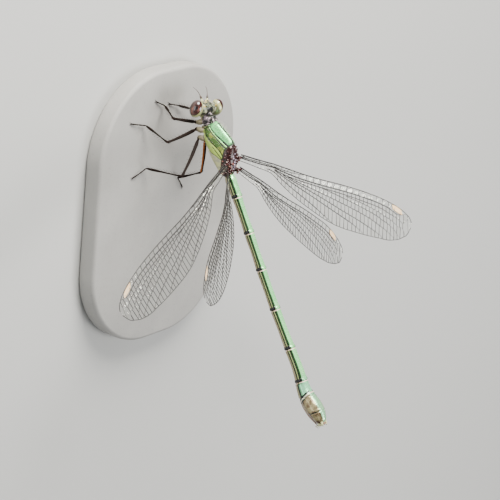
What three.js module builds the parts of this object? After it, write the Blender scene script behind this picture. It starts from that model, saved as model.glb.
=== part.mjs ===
// A female willow emerald damselfly at life size, clinging to a level surface with its abdomen raised,
// its four wings half spread, on a small flat display base. Millimetres, +Z up, +X the way it faces,
// +Y to its left, and the origin at the middle of the underside of the base.
import * as THREE from "three";

// Driving dimensions of the body. Its own axes: x to the head, y to its left, z to its back,
// and the origin where the abdomen joins the thorax.
const BODY_PITCH = THREE.MathUtils.degToRad(32);
const ABDOMEN_JOINT_HEIGHT = 9.12;
const GAP = 0.3;

// The display base.
const BASE_LENGTH = 36;
const BASE_WIDTH = 26;
const BASE_THICKNESS = 2.6;
const BASE_CORNER = 11;
const BASE_BEVEL = 0.5;
const BASE_CENTRE = [-6, 1];

// Head: its centre in body axes, and how far the face is turned down and to its right.
const HEAD_CENTRE = [8.9, 0, 0.22];
const HEAD_PITCH = THREE.MathUtils.degToRad(45);
const HEAD_TURN = THREE.MathUtils.degToRad(-7);
const HEAD_HALF_WIDTH = 0.95;
const HEAD = { front: 0.78, back: 0.62, top: 0.95, bottom: 0.78, narrowing: 0.14 };
// The nose: how far it swells out, how wide, how far below the middle and how high, the last two as
// shares of the head's height.
const NOSE = { out: 0.24, width: 0.5, drop: 0.35, height: 0.45 };
const EYE = { centre: [0.05, 1.88, 0.05], semi: [0.82, 0.8, 1.15], inner: HEAD_HALF_WIDTH + GAP };
const EYE_TIP_OPENING = 0.12;
// The mouth below the head: how far ahead, then how far down, half width and half depth of each ring.
const MOUTH_AHEAD = 0.42;
const MOUTH = [[0, 0.5, 0.36], [0.16, 0.52, 0.4], [0.34, 0.42, 0.34], [0.48, 0.22, 0.2]];
const ANTENNA = { root: [0.72, 0.42, 0.62], reach: [1.25, 0.75, 1.35], bow: 0.35 };
const ANTENNA_RADIUS = { root: 0.25, tip: 0.12 };

// How square a section is, as a superellipse's power: 1 a diamond, 2 an ellipse, 3 nearly a box.
const BELLY_POWER = 2.3;
const SOFT_BOX_POWER = 2.4;
// How many rings and sides the round forms have.
const RINGS = { head: 11, eye: 10, antenna: 6, prothorax: 7, thorax: 17 };
const SIDES = { head: 20, eye: 20, mouth: 14, prothorax: 20, thorax: 24, abdomen: 16, blade: 10 };
const LIMB_SIDES = { femur: 10, thin: 8 };

// Thorax and prothorax: x, half width, top, bottom, and the power of the back's section.
const THORAX = [
  [0.15, 0.6, 0.66, -0.62, 2.2],
  [0.9, 1.0, 1.3, -0.92, 3],
  [1.9, 1.22, 1.82, -1.1, 3],
  [3.0, 1.34, 2.3, -1.26, 2.2],
  [3.8, 1.36, 2.5, -1.32, 1.6],
  [5.0, 1.3, 2.06, -1.3, 1.5],
  [6.0, 1.14, 1.62, -1.24, 1.5],
  [6.8, 0.84, 1.2, -0.96, 1.6],
];
const PROTHORAX = [
  [7.1, 0.72, 0.72, -0.88, 2],
  [7.35, 0.8, 0.92, -0.92, 2],
  [7.58, 0.7, 0.7, -0.8, 2.2],
  [7.84, 0.5, 0.5, -0.52, 2],
];

// Abdomen: where each segment ends behind the joint, and the radius at its start, middle and end.
const ABDOMEN = [
  { end: 1.05, radii: [0.66, 0.7, 0.68] },
  { end: 2.9, radii: [0.66, 0.64, 0.66] },
  { end: 7.64, radii: [0.6, 0.55, 0.62] },
  { end: 12.46, radii: [0.58, 0.55, 0.62] },
  { end: 17.7, radii: [0.58, 0.56, 0.63] },
  { end: 22.9, radii: [0.6, 0.58, 0.66] },
  { end: 27.2, radii: [0.62, 0.66, 0.76] },
  { end: 29.15, radii: [0.76, 0.86, 0.98] },
  { end: 31.4, radii: [1.0, 1.1, 1.02] },
  { end: 32.7, radii: [0.92, 0.84, 0.66] },
];
const ABDOMEN_SAG = 0.35;
const ABDOMEN_LENGTH = 33.4;
// Near its end the abdomen dips a little, then turns up.
const TAIL_DIP = { at: 28.2, width: 1.8, depth: 0.3 };
const TAIL_RISE = { from: 28.5, to: 33.6, height: 0.58 };
// A segment narrows at both ends: shares of its length, and of the radius there.
const SEGMENT_LIP = 0.08;
const SEGMENT_LIP_RADIUS = 0.92;
const ABDOMEN_DEPTH = 1.03;
// A cercus, behind the last segment: how far back, how far from the middle, and the radius.
const CERCUS = [[0.03, 0.42, 0.25], [0.38, 0.45, 0.25], [0.78, 0.42, 0.14]];
const CERCUS_HEIGHT = 0.3;
// The ovipositor's blade, under segment nine: x behind the joint, half width, and how far its top is
// above, and its bottom below, the segment's underside.
const OVIPOSITOR = [
  [29.5, 0.2, 0.02, 0.22],
  [30.6, 0.34, 0, 0.46],
  [31.9, 0.34, 0.08, 0.42],
  [33.1, 0.26, 0.34, 0.16],
];

// Wings: sweep back from square to the body, lift above level, leading edge up, and the turn upwards
// from root to tip, in degrees.
const WINGS = {
  front_left: { side: 1, root: [1.34, 1.4, 1.42], sweep: 29.1, lift: -0.1, twist: 4.7, bend: -10.9 },
  front_right: { side: -1, root: [1.7, 1.42, 1.46], sweep: 34, lift: 11.5, twist: 11.3, bend: -3.5 },
  hind_left: { side: 1, root: [0.4, 1.02, 0.85], sweep: 36.7, lift: 25.6, twist: 17.6, bend: -16.2 },
  hind_right: { side: -1, root: [0.35, 1.08, 0.85], sweep: 33.9, lift: -11.4, twist: 6.2, bend: -4.2 },
};
const WING_LENGTH = { front: 27.3, hind: 26.2 };
// The outlines as shares of the length: how far along, leading edge ahead, trailing edge behind.
const WING_OUTLINE = {
  front: [
    [0, 0.014, 0.014],
    [0.1, 0.02, 0.015],
    [0.18, 0.027, 0.02],
    [0.24, 0.029, 0.052],
    [0.32, 0.031, 0.086],
    [0.42, 0.037, 0.117],
    [0.56, 0.052, 0.145],
    [0.7, 0.062, 0.142],
    [0.82, 0.062, 0.129],
    [0.9, 0.053, 0.115],
    [0.96, 0.036, 0.083],
    [1, 0.002, 0.02],
  ],
  hind: [
    [0, 0.014, 0.014],
    [0.1, 0.02, 0.016],
    [0.18, 0.027, 0.021],
    [0.24, 0.03, 0.05],
    [0.32, 0.032, 0.078],
    [0.42, 0.039, 0.1],
    [0.56, 0.055, 0.112],
    [0.7, 0.066, 0.117],
    [0.82, 0.069, 0.112],
    [0.9, 0.057, 0.097],
    [0.96, 0.038, 0.071],
    [1, 0.002, 0.02],
  ],
};
// Columns of points from root to tip, set closer towards the tip.
const WING_COLUMNS = 22;
const WING_CROWDING = 1.25;
const MEMBRANE = 0.5;
const VEIN_RISE = 0.16;
const VEIN_WIDTH = 0.035;
// The main veins, as shares of the chord behind the leading edge.
const VEINS = [0.13, 0.28, 0.44, 0.6, 0.78];
// The veins rise between these shares of the length, clear of the narrow stalk.
const VEINS_OPEN = [0.14, 0.34];
const NODUS = 0.373;
const NODUS_HALF = 0.02;
const STIGMA = { front: [0.871, 0.937], hind: [0.844, 0.914] };

// Legs: where the hip sits under the body, x and y, and where the coxa ends, x, y, z, in body axes; then
// knee, ankle and toe over the top of the base, about the abdomen's joint.
const HIPS = { front: [7.5, 0.5], mid: [6.4, 0.74], hind: [5.35, 0.8] };
const COXA_ENDS = { front: [7.8, 0.46, -1.85], mid: [7.0, 0.62, -1.95], hind: [5.93, 0.62, -2.12] };
const LEGS = {
  front_left: { side: 1, knee: [6.9, 4.88, 3.3], ankle: [7.49, 3.06], toe: [8.2, 4.48] },
  front_right: { side: -1, knee: [5.96, -3.19, 2.0], ankle: [7.11, 0.48], toe: [7.49, 1.9] },
  mid_left: { side: 1, knee: [4.15, 6.2, 3.8], ankle: [5.49, 6.43], toe: [6.08, 8.97] },
  mid_right: { side: -1, knee: [3.91, -5.36, 2.54], ankle: [6.3, -2.7], toe: [6.7, -4.5] },
  hind_left: { side: 1, knee: [0.13, 5.42, 5.9], ankle: [-0.21, 5.81], toe: [-1.15, 8.02] },
  hind_right: { side: -1, knee: [-1.07, -0.86, 3.9], ankle: [-2.68, -0.57], toe: [-4.25, -1.96] },
};
const COXA = { top: 0.28, belly: 0.34, drop: 0.2 };
const TROCHANTER_LENGTH = 0.5;
const FEMUR_RADIUS = { front: 0.28, mid: 0.29, hind: 0.3 };
const THIN_RADIUS = 0.25;
const CLAW_RADIUS = 0.16;
const FOOT_HEIGHT = GAP + THIN_RADIUS + 0.01;

const METAL_GREEN = { color: 0x5fae6d, roughness: 0.3, metalness: 0.7 };
const BRONZE = { color: 0x6b5a45, roughness: 0.4, metalness: 0.5 };
const PALE = { color: 0xcfc7a0, roughness: 0.6, metalness: 0 };
const EYE_BROWN = { color: 0x5a2f26, roughness: 0.2, metalness: 0 };
const LEG_DARK = { color: 0x2c1d17, roughness: 0.5, metalness: 0 };
const WING_CLEAR = { color: 0xc9cdb8, roughness: 0.2, metalness: 0 };
const BASE_GREY = { color: 0xb4b2ac, roughness: 0.8, metalness: 0 };

const vec = (x, y, z) => new THREE.Vector3(x, y, z);
const smooth = (points) => new THREE.CatmullRomCurve3(points, false, "catmullrom", 0.5);

// One closed mesh from points and triangles, turned so that its faces point out.
function closed(points, faces) {
  const corner = ([a, b, c]) => points[a].dot(points[b].clone().cross(points[c]));
  const volume = faces.reduce((sum, face) => sum + corner(face), 0);
  const turned = volume < 0 ? faces.map(([a, b, c]) => [a, c, b]) : faces;
  const geometry = new THREE.BufferGeometry().setFromPoints(points);
  geometry.setIndex(turned.flat());
  geometry.computeVertexNormals();
  return geometry;
}

// A skin over rings of as many points each, closed at both ends by fans.
function loft(rings) {
  const sides = rings[0].length;
  const points = rings.flat();
  const faces = [];
  for (let r = 0; r + 1 < rings.length; r++)
    for (let k = 0; k < sides; k++) {
      const a = r * sides + k;
      const b = r * sides + ((k + 1) % sides);
      faces.push([a, b, b + sides], [a, b + sides, a + sides]);
    }
  for (const [first, way] of [[0, 1], [(rings.length - 1) * sides, -1]]) {
    const middle = vec(0, 0, 0);
    for (let k = 0; k < sides; k++) middle.addScaledVector(points[first + k], 1 / sides);
    points.push(middle);
    for (let k = 0; k < sides; k++) {
      const a = first + k;
      const b = first + ((k + 1) % sides);
      faces.push(way > 0 ? [points.length - 1, b, a] : [points.length - 1, a, b]);
    }
  }
  return closed(points, faces);
}

// A superellipse's unit point at an angle.
function rounded(angle, power) {
  const bend = (v) => Math.sign(v) * Math.abs(v) ** (2 / power);
  return [bend(Math.cos(angle)), bend(Math.sin(angle))];
}

// A body form through stations of x, half width, top, bottom and the squareness of its back.
function bodyForm(stations, ringCount, sides) {
  const widths = smooth(stations.map(([x, width, , , square]) => vec(x, width, square)));
  const heights = smooth(stations.map(([x, , top, bottom]) => vec(x, top, bottom)));
  const rings = [];
  for (let r = 0; r < ringCount; r++) {
    const at = r / (ringCount - 1);
    const { x, y: width, z: square } = widths.getPoint(at);
    const { y: top, z: bottom } = heights.getPoint(at);
    rings.push(bodyRing(x, width, top, bottom, square, sides));
  }
  return loft(rings);
}

function bodyRing(x, width, top, bottom, square, sides) {
  const middle = (top + 2 * bottom) / 3;
  return Array.from({ length: sides }, (_, k) => {
    const angle = (2 * Math.PI * (k + 0.25)) / sides;
    const [across, up] = rounded(angle, Math.sin(angle) > 0 ? square : BELLY_POWER);
    return vec(x, width * across, middle + up * (up > 0 ? top - middle : middle - bottom));
  });
}

// How low the form through the stations reaches at x and y.
function underside(stations, x, y) {
  const k = Math.max(1, stations.findIndex((s) => s[0] >= x));
  const [before, after] = [stations[k - 1], stations[k]];
  const mix = (i) => THREE.MathUtils.mapLinear(x, before[0], after[0], before[i], after[i]);
  const [width, top, bottom] = [mix(1), mix(2), mix(3)];
  const middle = (top + 2 * bottom) / 3;
  return middle - (middle - bottom) * (1 - (y / width) ** BELLY_POWER) ** (1 / BELLY_POWER);
}

// A round limb through points of [position, radius].
function limb(path, sides) {
  const rings = path.map(([at, radius], k) => {
    const ahead = path[Math.min(k + 1, path.length - 1)][0].clone();
    const along = ahead.sub(path[Math.max(k - 1, 0)][0]).normalize();
    const across = vec(0, 0, 1).cross(along).normalize();
    if (across.lengthSq() < 0.5) across.set(1, 0, 0);
    const up = along.clone().cross(across);
    return Array.from({ length: sides }, (_, s) => {
      const [c, d] = [Math.cos, Math.sin].map((f) => radius * f((2 * Math.PI * s) / sides));
      return at.clone().addScaledVector(across, c).addScaledVector(up, d);
    });
  });
  return loft(rings);
}

function named(name, geometry, finish) {
  const mesh = new THREE.Mesh(geometry, new THREE.MeshStandardMaterial(finish));
  mesh.name = name;
  return mesh;
}

// Head: rings from right to left in the head's own axes, the nose swelling out below the middle.
function headCore() {
  const rings = [];
  for (let r = 0; r < RINGS.head; r++) {
    const y = HEAD_HALF_WIDTH * ((2 * r) / (RINGS.head - 1) - 1);
    const narrow = 1 - HEAD.narrowing * (y / HEAD_HALF_WIDTH) ** 2;
    rings.push(
      Array.from({ length: SIDES.head }, (_, k) => {
        const [ahead, up] = rounded((2 * Math.PI * k) / SIDES.head, SOFT_BOX_POWER);
        const low = (up + NOSE.drop) / NOSE.height;
        const nose = NOSE.out * Math.exp(-((y / NOSE.width) ** 2) - low ** 2);
        const x = ahead > 0 ? ahead * (HEAD.front * narrow + nose) : ahead * HEAD.back * narrow;
        return vec(x, y, up * narrow * (up > 0 ? HEAD.top : HEAD.bottom));
      }),
    );
  }
  return loft(rings);
}

function mouth() {
  const top = -HEAD.bottom - GAP;
  return loft(
    MOUTH.map(([down, width, depth]) =>
      Array.from({ length: SIDES.mouth }, (_, k) => {
        const [ahead, across] = rounded((2 * Math.PI * k) / SIDES.mouth, SOFT_BOX_POWER);
        return vec(MOUTH_AHEAD + depth * ahead, width * across, top - down);
      }),
    ),
  );
}

function eye(side) {
  const [cx, cy, cz] = EYE.centre;
  const [ax, ay, az] = EYE.semi;
  const start = Math.asin((EYE.inner - cy) / ay);
  const rings = [];
  const end = Math.PI / 2 - EYE_TIP_OPENING;
  for (let r = 0; r < RINGS.eye; r++) {
    const turn = THREE.MathUtils.lerp(start, end, r / (RINGS.eye - 1));
    rings.push(
      Array.from({ length: SIDES.eye }, (_, k) => {
        const angle = (2 * Math.PI * k) / SIDES.eye;
        const out = Math.cos(turn);
        const y = cy + ay * Math.sin(turn);
        return vec(cx + ax * out * Math.cos(angle), side * y, cz + az * out * Math.sin(angle));
      }),
    );
  }
  return loft(rings);
}

function antenna(side) {
  const [rx, ry, rz] = ANTENNA.root;
  const [dx, dy, dz] = ANTENNA.reach;
  const path = [];
  for (let k = 0; k < RINGS.antenna; k++) {
    const t = k / (RINGS.antenna - 1);
    const bow = ANTENNA.bow * Math.sin(Math.PI * t);
    const at = vec(rx + GAP + dx * t, side * (ry + dy * t), rz + GAP / 2 + dz * t + bow);
    path.push([at, THREE.MathUtils.lerp(ANTENNA_RADIUS.root, ANTENNA_RADIUS.tip, t ** 0.7)]);
  }
  return limb(path, LIMB_SIDES.thin);
}

// How high the abdomen's middle line runs, x behind the joint.
function abdomenAxis(x) {
  const sag = ABDOMEN_SAG * Math.sin((Math.PI * x) / ABDOMEN_LENGTH) ** 2;
  const dip = TAIL_DIP.depth * Math.exp(-(((x - TAIL_DIP.at) / TAIL_DIP.width) ** 2));
  return TAIL_RISE.height * THREE.MathUtils.smoothstep(x, TAIL_RISE.from, TAIL_RISE.to) - sag - dip;
}

function abdomenSegment(index) {
  const start = index ? ABDOMEN[index - 1].end + GAP / 2 : GAP / 2;
  const end = ABDOMEN[index].end - GAP / 2;
  const [first, middle, last] = ABDOMEN[index].radii;
  const stations = [
    [0, SEGMENT_LIP_RADIUS * first],
    [SEGMENT_LIP, first],
    [0.5, middle],
    [1 - SEGMENT_LIP, last],
    [1, SEGMENT_LIP_RADIUS * last],
  ];
  const rings = stations.map(([share, radius]) => {
    const x = THREE.MathUtils.lerp(start, end, share);
    return Array.from({ length: SIDES.abdomen }, (_, k) => {
      const angle = (2 * Math.PI * (k + 0.5)) / SIDES.abdomen;
      return vec(-x, radius * Math.cos(angle), abdomenAxis(x) + radius * ABDOMEN_DEPTH * Math.sin(angle));
    });
  });
  return loft(rings);
}

// A short feeler behind the last segment.
function cercus(side) {
  const back = ABDOMEN[9].end + GAP / 2;
  const high = CERCUS_HEIGHT + abdomenAxis(back);
  const at = ([behind, out, radius]) => [vec(-back - behind, side * out, high), radius];
  return limb(CERCUS.map(at), LIMB_SIDES.thin);
}

// The blade that hangs below the last two segments.
function ovipositor() {
  const belly = -ABDOMEN[8].radii[1] - GAP;
  return loft(
    OVIPOSITOR.map(([x, width, above, below]) =>
      Array.from({ length: SIDES.blade }, (_, k) => {
        const [across, up] = rounded((2 * Math.PI * (k + 0.5)) / SIDES.blade, SOFT_BOX_POWER);
        const middle = abdomenAxis(x) + belly + (above - below) / 2;
        return vec(-x, width * across, middle + (up * (above + below)) / 2);
      }),
    ),
  );
}

// A wing in its own axes: x out from the root, y to the leading edge, z through it, and the whole bent
// to an arc along x. Both faces share one grid. Each main vein is a row of raised points with a row of
// level ones on either side.
function wing(pair, { side, bend }) {
  const length = WING_LENGTH[pair];
  const curl = -side * THREE.MathUtils.degToRad(bend);
  const outline = smooth(WING_OUTLINE[pair].map((at) => vec(...at)));
  const rows = [[0, 1], [VEIN_WIDTH, 0]];
  for (const vein of VEINS) rows.push([vein - VEIN_WIDTH, 0], [vein, 1], [vein + VEIN_WIDTH, 0]);
  rows.push([1 - VEIN_WIDTH, 0], [1, 0.5]);
  const points = [];
  for (let c = 0; c < WING_COLUMNS; c++) {
    const share = 1 - (1 - c / (WING_COLUMNS - 1)) ** WING_CROWDING;
    const { x: along, y: lead, z: trail } = outline.getPoint(share);
    const open = THREE.MathUtils.smoothstep(along, ...VEINS_OPEN);
    for (const [behind, vein] of rows) {
      const inStigma = along > STIGMA[pair][0] && along < STIGMA[pair][1] && behind < VEINS[0];
      const atNodus = Math.abs(along - NODUS) < NODUS_HALF && behind < VEINS[0];
      const rise = VEIN_RISE * (inStigma || atNodus ? 1 : vein) * open;
      const turn = curl * along;
      const y = length * (lead - (lead + trail) * behind);
      const onArc = vec((length * Math.sin(turn)) / curl, y, (length * (1 - Math.cos(turn))) / curl);
      const through = vec(-Math.sin(turn), 0, Math.cos(turn));
      for (const face of [1, -1]) {
        points.push(onArc.clone().addScaledVector(through, face * (MEMBRANE / 2 + rise)));
      }
    }
  }
  const faces = [];
  const wide = rows.length;
  const index = (c, r, face) => 2 * (c * wide + r) + face;
  for (let c = 0; c + 1 < WING_COLUMNS; c++)
    for (let r = 0; r + 1 < wide; r++)
      for (const face of [0, 1]) {
        const [a, b] = [index(c, r, face), index(c + 1, r, face)];
        const [d, e] = [index(c, r + 1, face), index(c + 1, r + 1, face)];
        faces.push(...(face ? [[a, b, e], [a, e, d]] : [[a, e, b], [a, d, e]]));
      }
  const rim = (a, b, c, d) => faces.push([a, b, c], [a, c, d]);
  const [lastRow, lastColumn] = [wide - 1, WING_COLUMNS - 1];
  for (let c = 0; c < lastColumn; c++) {
    rim(index(c, 0, 0), index(c + 1, 0, 0), index(c + 1, 0, 1), index(c, 0, 1));
    rim(index(c, lastRow, 1), index(c + 1, lastRow, 1), index(c + 1, lastRow, 0), index(c, lastRow, 0));
  }
  for (let r = 0; r < lastRow; r++) {
    rim(index(0, r, 1), index(0, r + 1, 1), index(0, r + 1, 0), index(0, r, 0));
    const [tip, next] = [(face) => index(lastColumn, r, face), (face) => index(lastColumn, r + 1, face)];
    rim(tip(0), next(0), next(1), tip(1));
  }
  return closed(points, faces);
}

// Turns a wing from its own axes to the body's.
function placeWing(mesh, { side, root, sweep, lift, twist }) {
  const [back, up, roll] = [sweep, lift, twist].map(THREE.MathUtils.degToRad);
  const out = vec(-Math.sin(back) * Math.cos(up), side * Math.cos(back) * Math.cos(up), Math.sin(up));
  const level = vec(Math.cos(back), side * Math.sin(back), 0);
  const over = out.clone().cross(level).multiplyScalar(-side);
  const lead = level.multiplyScalar(Math.cos(roll)).addScaledVector(over, Math.sin(roll));
  const face = out.clone().cross(lead);
  mesh.applyMatrix4(new THREE.Matrix4().makeBasis(out, lead, face));
  mesh.position.set(root[0], side * root[1], root[2]);
  return mesh;
}

// The damselfly, in body axes, pitched so that the abdomen stands clear of the perch.
const body = new THREE.Group();
body.rotation.y = BODY_PITCH;
body.position.z = ABDOMEN_JOINT_HEIGHT;

const head = new THREE.Group();
head.position.set(...HEAD_CENTRE);
head.rotation.set(0, HEAD_PITCH, HEAD_TURN, "ZYX");
head.add(named("head", headCore(), METAL_GREEN));
head.add(named("mouth", mouth(), PALE));
for (const [name, side] of [["left", 1], ["right", -1]]) {
  head.add(named(`eye_${name}`, eye(side), EYE_BROWN));
  head.add(named(`antenna_${name}`, antenna(side), LEG_DARK));
}
body.add(head);

body.add(named("prothorax", bodyForm(PROTHORAX, RINGS.prothorax, SIDES.prothorax), BRONZE));
body.add(named("thorax", bodyForm(THORAX, RINGS.thorax, SIDES.thorax), METAL_GREEN));
ABDOMEN.forEach((_, k) => body.add(named(`abdomen_${k + 1}`, abdomenSegment(k), METAL_GREEN)));
body.add(named("cercus_left", cercus(1), BRONZE), named("cercus_right", cercus(-1), BRONZE));
body.add(named("ovipositor", ovipositor(), BRONZE));
for (const [name, pose] of Object.entries(WINGS)) {
  const pair = name.split("_")[0];
  body.add(placeWing(named(`wing_${name}`, wing(pair, pose), WING_CLEAR), pose));
}

// How far past a joint the next limb starts, so that its end face clears the limb before it.
function clearance(before, after) {
  const fold = before.clone().negate().angleTo(after);
  const reach = (THIN_RADIUS + GAP + THIN_RADIUS * Math.cos(fold)) / Math.sin(fold);
  return fold < Math.PI / 2 ? reach : GAP + THIN_RADIUS * Math.sin(fold);
}

// Legs: coxa, trochanter and femur in one, then tibia, then foot, each with a gap at its joint.
body.updateMatrixWorld();
const legs = new THREE.Group();
for (const [name, { side, knee, ankle, toe }] of Object.entries(LEGS)) {
  const pair = name.split("_")[0];
  const [hipX, hipY] = HIPS[pair];
  const [endX, endY, endZ] = COXA_ENDS[pair];
  const thick = FEMUR_RADIUS[pair];
  const host = hipX > THORAX[THORAX.length - 1][0] ? PROTHORAX : THORAX;
  const hipZ = underside(host, hipX, hipY - COXA.top) - GAP;
  const placed = (x, y, z) => vec(x, side * y, z).applyMatrix4(body.matrixWorld);
  const coxaEnd = placed(endX, endY, endZ);
  const kneeAt = vec(...knee);
  const ankleAt = vec(...ankle, FOOT_HEIGHT);
  const toeAt = vec(...toe, FOOT_HEIGHT - THIN_RADIUS + CLAW_RADIUS);
  const thigh = kneeAt.clone().sub(coxaEnd).normalize();
  const shin = ankleAt.clone().sub(kneeAt).normalize();
  const foot = toeAt.clone().sub(ankleAt).normalize();
  const reach = coxaEnd.distanceTo(kneeAt);
  const along = (share) => coxaEnd.clone().lerp(kneeAt, share);
  const femur = [
    [placed(hipX, hipY, hipZ), COXA.top],
    [placed(hipX, hipY, hipZ - COXA.drop), COXA.belly],
    [coxaEnd, COXA.top],
    [along(TROCHANTER_LENGTH / reach), THIN_RADIUS],
    [along(0.25), thick],
    [along(0.75), thick],
    [along(1), THIN_RADIUS],
  ];
  const knees = kneeAt.clone().addScaledVector(shin, clearance(thigh, shin));
  const heel = ankleAt.clone().addScaledVector(foot, clearance(shin, foot));
  const tibia = [[knees, THIN_RADIUS], [ankleAt, THIN_RADIUS]];
  const tarsus = [[heel, THIN_RADIUS], [heel.clone().lerp(toeAt, 0.7), THIN_RADIUS], [toeAt, CLAW_RADIUS]];
  legs.add(named(`leg_${name}_femur`, limb(femur, LIMB_SIDES.femur), LEG_DARK));
  legs.add(named(`leg_${name}_tibia`, limb(tibia, LIMB_SIDES.thin), LEG_DARK));
  legs.add(named(`leg_${name}_tarsus`, limb(tarsus, LIMB_SIDES.thin), LEG_DARK));
}

// The base: a rounded slab with a small bevel, under all six feet and the weight of the wings.
function baseSlab() {
  const half = [BASE_LENGTH / 2 - BASE_BEVEL, BASE_WIDTH / 2 - BASE_BEVEL];
  const turn = BASE_CORNER - BASE_BEVEL;
  const shape = new THREE.Shape();
  [[1, 1], [-1, 1], [-1, -1], [1, -1]].forEach(([sx, sy], k) => {
    const start = (k * Math.PI) / 2;
    shape.absarc(sx * (half[0] - turn), sy * (half[1] - turn), turn, start, start + Math.PI / 2);
  });
  const slab = new THREE.ExtrudeGeometry(shape, {
    depth: BASE_THICKNESS - 2 * BASE_BEVEL,
    bevelThickness: BASE_BEVEL,
    bevelSize: BASE_BEVEL,
    bevelSegments: 2,
    curveSegments: 8,
  });
  return slab.translate(0, 0, BASE_BEVEL - BASE_THICKNESS);
}

const base = named("stand_base", baseSlab(), BASE_GREY);
base.position.set(...BASE_CENTRE, 0);

const damselfly = new THREE.Group();
damselfly.add(body, legs, base);
damselfly.position.set(-BASE_CENTRE[0], -BASE_CENTRE[1], BASE_THICKNESS);

export default damselfly;
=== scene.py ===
"""Finishes a life-size damselfly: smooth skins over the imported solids, net-veined wings, bristled legs,
and a plain stage seen from the photograph's side."""

from math import cos, radians, sin

import bpy
import numpy as np
from bpy.props import FloatProperty, FloatVectorProperty, IntProperty, PointerProperty
from mathutils import Matrix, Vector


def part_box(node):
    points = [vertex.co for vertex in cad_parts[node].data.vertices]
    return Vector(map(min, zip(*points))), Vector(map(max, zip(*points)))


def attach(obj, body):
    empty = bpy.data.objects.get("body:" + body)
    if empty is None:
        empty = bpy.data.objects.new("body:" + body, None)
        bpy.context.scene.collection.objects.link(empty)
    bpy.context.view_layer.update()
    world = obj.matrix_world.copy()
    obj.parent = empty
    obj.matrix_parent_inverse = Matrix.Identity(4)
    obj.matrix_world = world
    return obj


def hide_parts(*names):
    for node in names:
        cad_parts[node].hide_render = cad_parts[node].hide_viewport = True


bl_info = {
    "name": "Willow emerald damselfly",
    "version": (1, 0, 0),
    "blender": (4, 5, 0),
    "location": "View3D > Sidebar > Damselfly",
    "description": "Builds a life-size damselfly with veined wings on a small display base",
    "category": "Add Mesh",
}

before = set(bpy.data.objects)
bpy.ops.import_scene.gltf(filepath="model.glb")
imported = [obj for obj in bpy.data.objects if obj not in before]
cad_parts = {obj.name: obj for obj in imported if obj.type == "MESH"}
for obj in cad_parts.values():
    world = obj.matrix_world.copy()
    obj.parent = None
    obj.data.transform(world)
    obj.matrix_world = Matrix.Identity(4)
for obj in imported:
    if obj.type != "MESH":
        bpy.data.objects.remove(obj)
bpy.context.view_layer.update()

# Millimetres in the script, metres in the mesh.
MM = 0.001
BASE_LOW, BASE_HIGH = (np.array(corner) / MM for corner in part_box("stand_base"))
BASE_MIDDLE = (BASE_LOW + BASE_HIGH) / 2

# The body's own axes: x to the head, y to its left, z to its back, from the abdomen's joint.
BODY_PITCH = radians(32)
ABDOMEN_JOINT = np.array([BASE_MIDDLE[0] + 6, BASE_MIDDLE[1] - 1, BASE_HIGH[2] + 9.12])

# The photograph: its side in pixels, the lens in pixels, the distance, and the joint's pixel.
PICTURE_SIDE = 500
FOCAL_PIXELS = 2400
CAMERA_DISTANCE = 300
JOINT_PIXEL = (229.5, 176)
# How the body lies in the picture: rolled about its length, tipped, and turned in the picture's plane.
PICTURE_ROLL, PICTURE_TIP, PICTURE_TURN = radians(48.8), radians(-1.2), radians(19.8)

HEAD_CENTRE = np.array([8.9, 0, 0.22])
HEAD_PITCH, HEAD_TURN = radians(45), radians(-7)
# An eye in head axes: its middle, and half its length, width and height.
EYE_CENTRE, EYE_SEMI = np.array([0.05, 1.84, 0.05]), np.array([0.84, 0.86, 1.15])

# Thorax stations: x, half width, top, bottom, squareness of the back.
THORAX = np.array([
    [0.0, 0.5, 0.5, -0.5, 2.0],
    [0.4, 0.86, 0.95, -0.76, 2.4],
    [0.9, 1.0, 1.3, -0.92, 3.0],
    [1.9, 1.22, 1.82, -1.1, 3.0],
    [3.0, 1.34, 2.3, -1.26, 2.2],
    [3.8, 1.36, 2.5, -1.32, 1.6],
    [5.0, 1.3, 2.06, -1.3, 1.5],
    [6.0, 1.14, 1.62, -1.24, 1.5],
    [6.6, 0.92, 1.32, -1.04, 1.6],
    [6.95, 0.6, 1.0, -0.7, 1.8],
])

# Abdomen: where each segment ends behind the joint, and the radius along it.
SEGMENT_ENDS = np.array([1.05, 2.9, 7.64, 12.46, 17.7, 22.9, 27.2, 29.15, 31.4, 32.7])
ABDOMEN_RADII = np.array([
    [-0.35, 0.3], [0.0, 0.56], [0.5, 0.7], [1.05, 0.66], [1.9, 0.68], [2.9, 0.62], [5.2, 0.56],
    [7.64, 0.61], [10.0, 0.56], [12.46, 0.61], [15.0, 0.57], [17.7, 0.62], [20.3, 0.6], [22.9, 0.66],
    [25.2, 0.68], [27.2, 0.78], [28.2, 0.88], [29.15, 1.0], [30.3, 1.13], [31.4, 1.06], [32.1, 0.86],
    [32.6, 0.66], [32.95, 0.34],
])
# Its middle line sags between its ends, and near the tail it dips a little, then turns up.
ABDOMEN_SAG = 0.35
ABDOMEN_LENGTH = 33.4
TAIL_DIP = dict(at=28.2, width=1.8, depth=0.3)
TAIL_RISE = dict(start=28.5, end=33.6, height=0.58)

# Wings, in degrees: swept back, lifted, leading edge up, and bent up from root to tip.
WINGS = {
    "front_left": dict(side=1, root=(1.34, 1.4, 1.42), sweep=29.1, lift=-0.1, twist=4.7, bend=-10.9),
    "front_right": dict(side=-1, root=(1.7, 1.42, 1.46), sweep=34, lift=11.5, twist=11.3, bend=-3.5),
    "hind_left": dict(side=1, root=(0.4, 1.02, 0.85), sweep=36.7, lift=25.6, twist=17.6, bend=-16.2),
    "hind_right": dict(side=-1, root=(0.35, 1.08, 0.85), sweep=33.9, lift=-11.4, twist=6.2, bend=-4.2),
}
WING_LENGTH = {"front": 27.3, "hind": 26.2}
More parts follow.
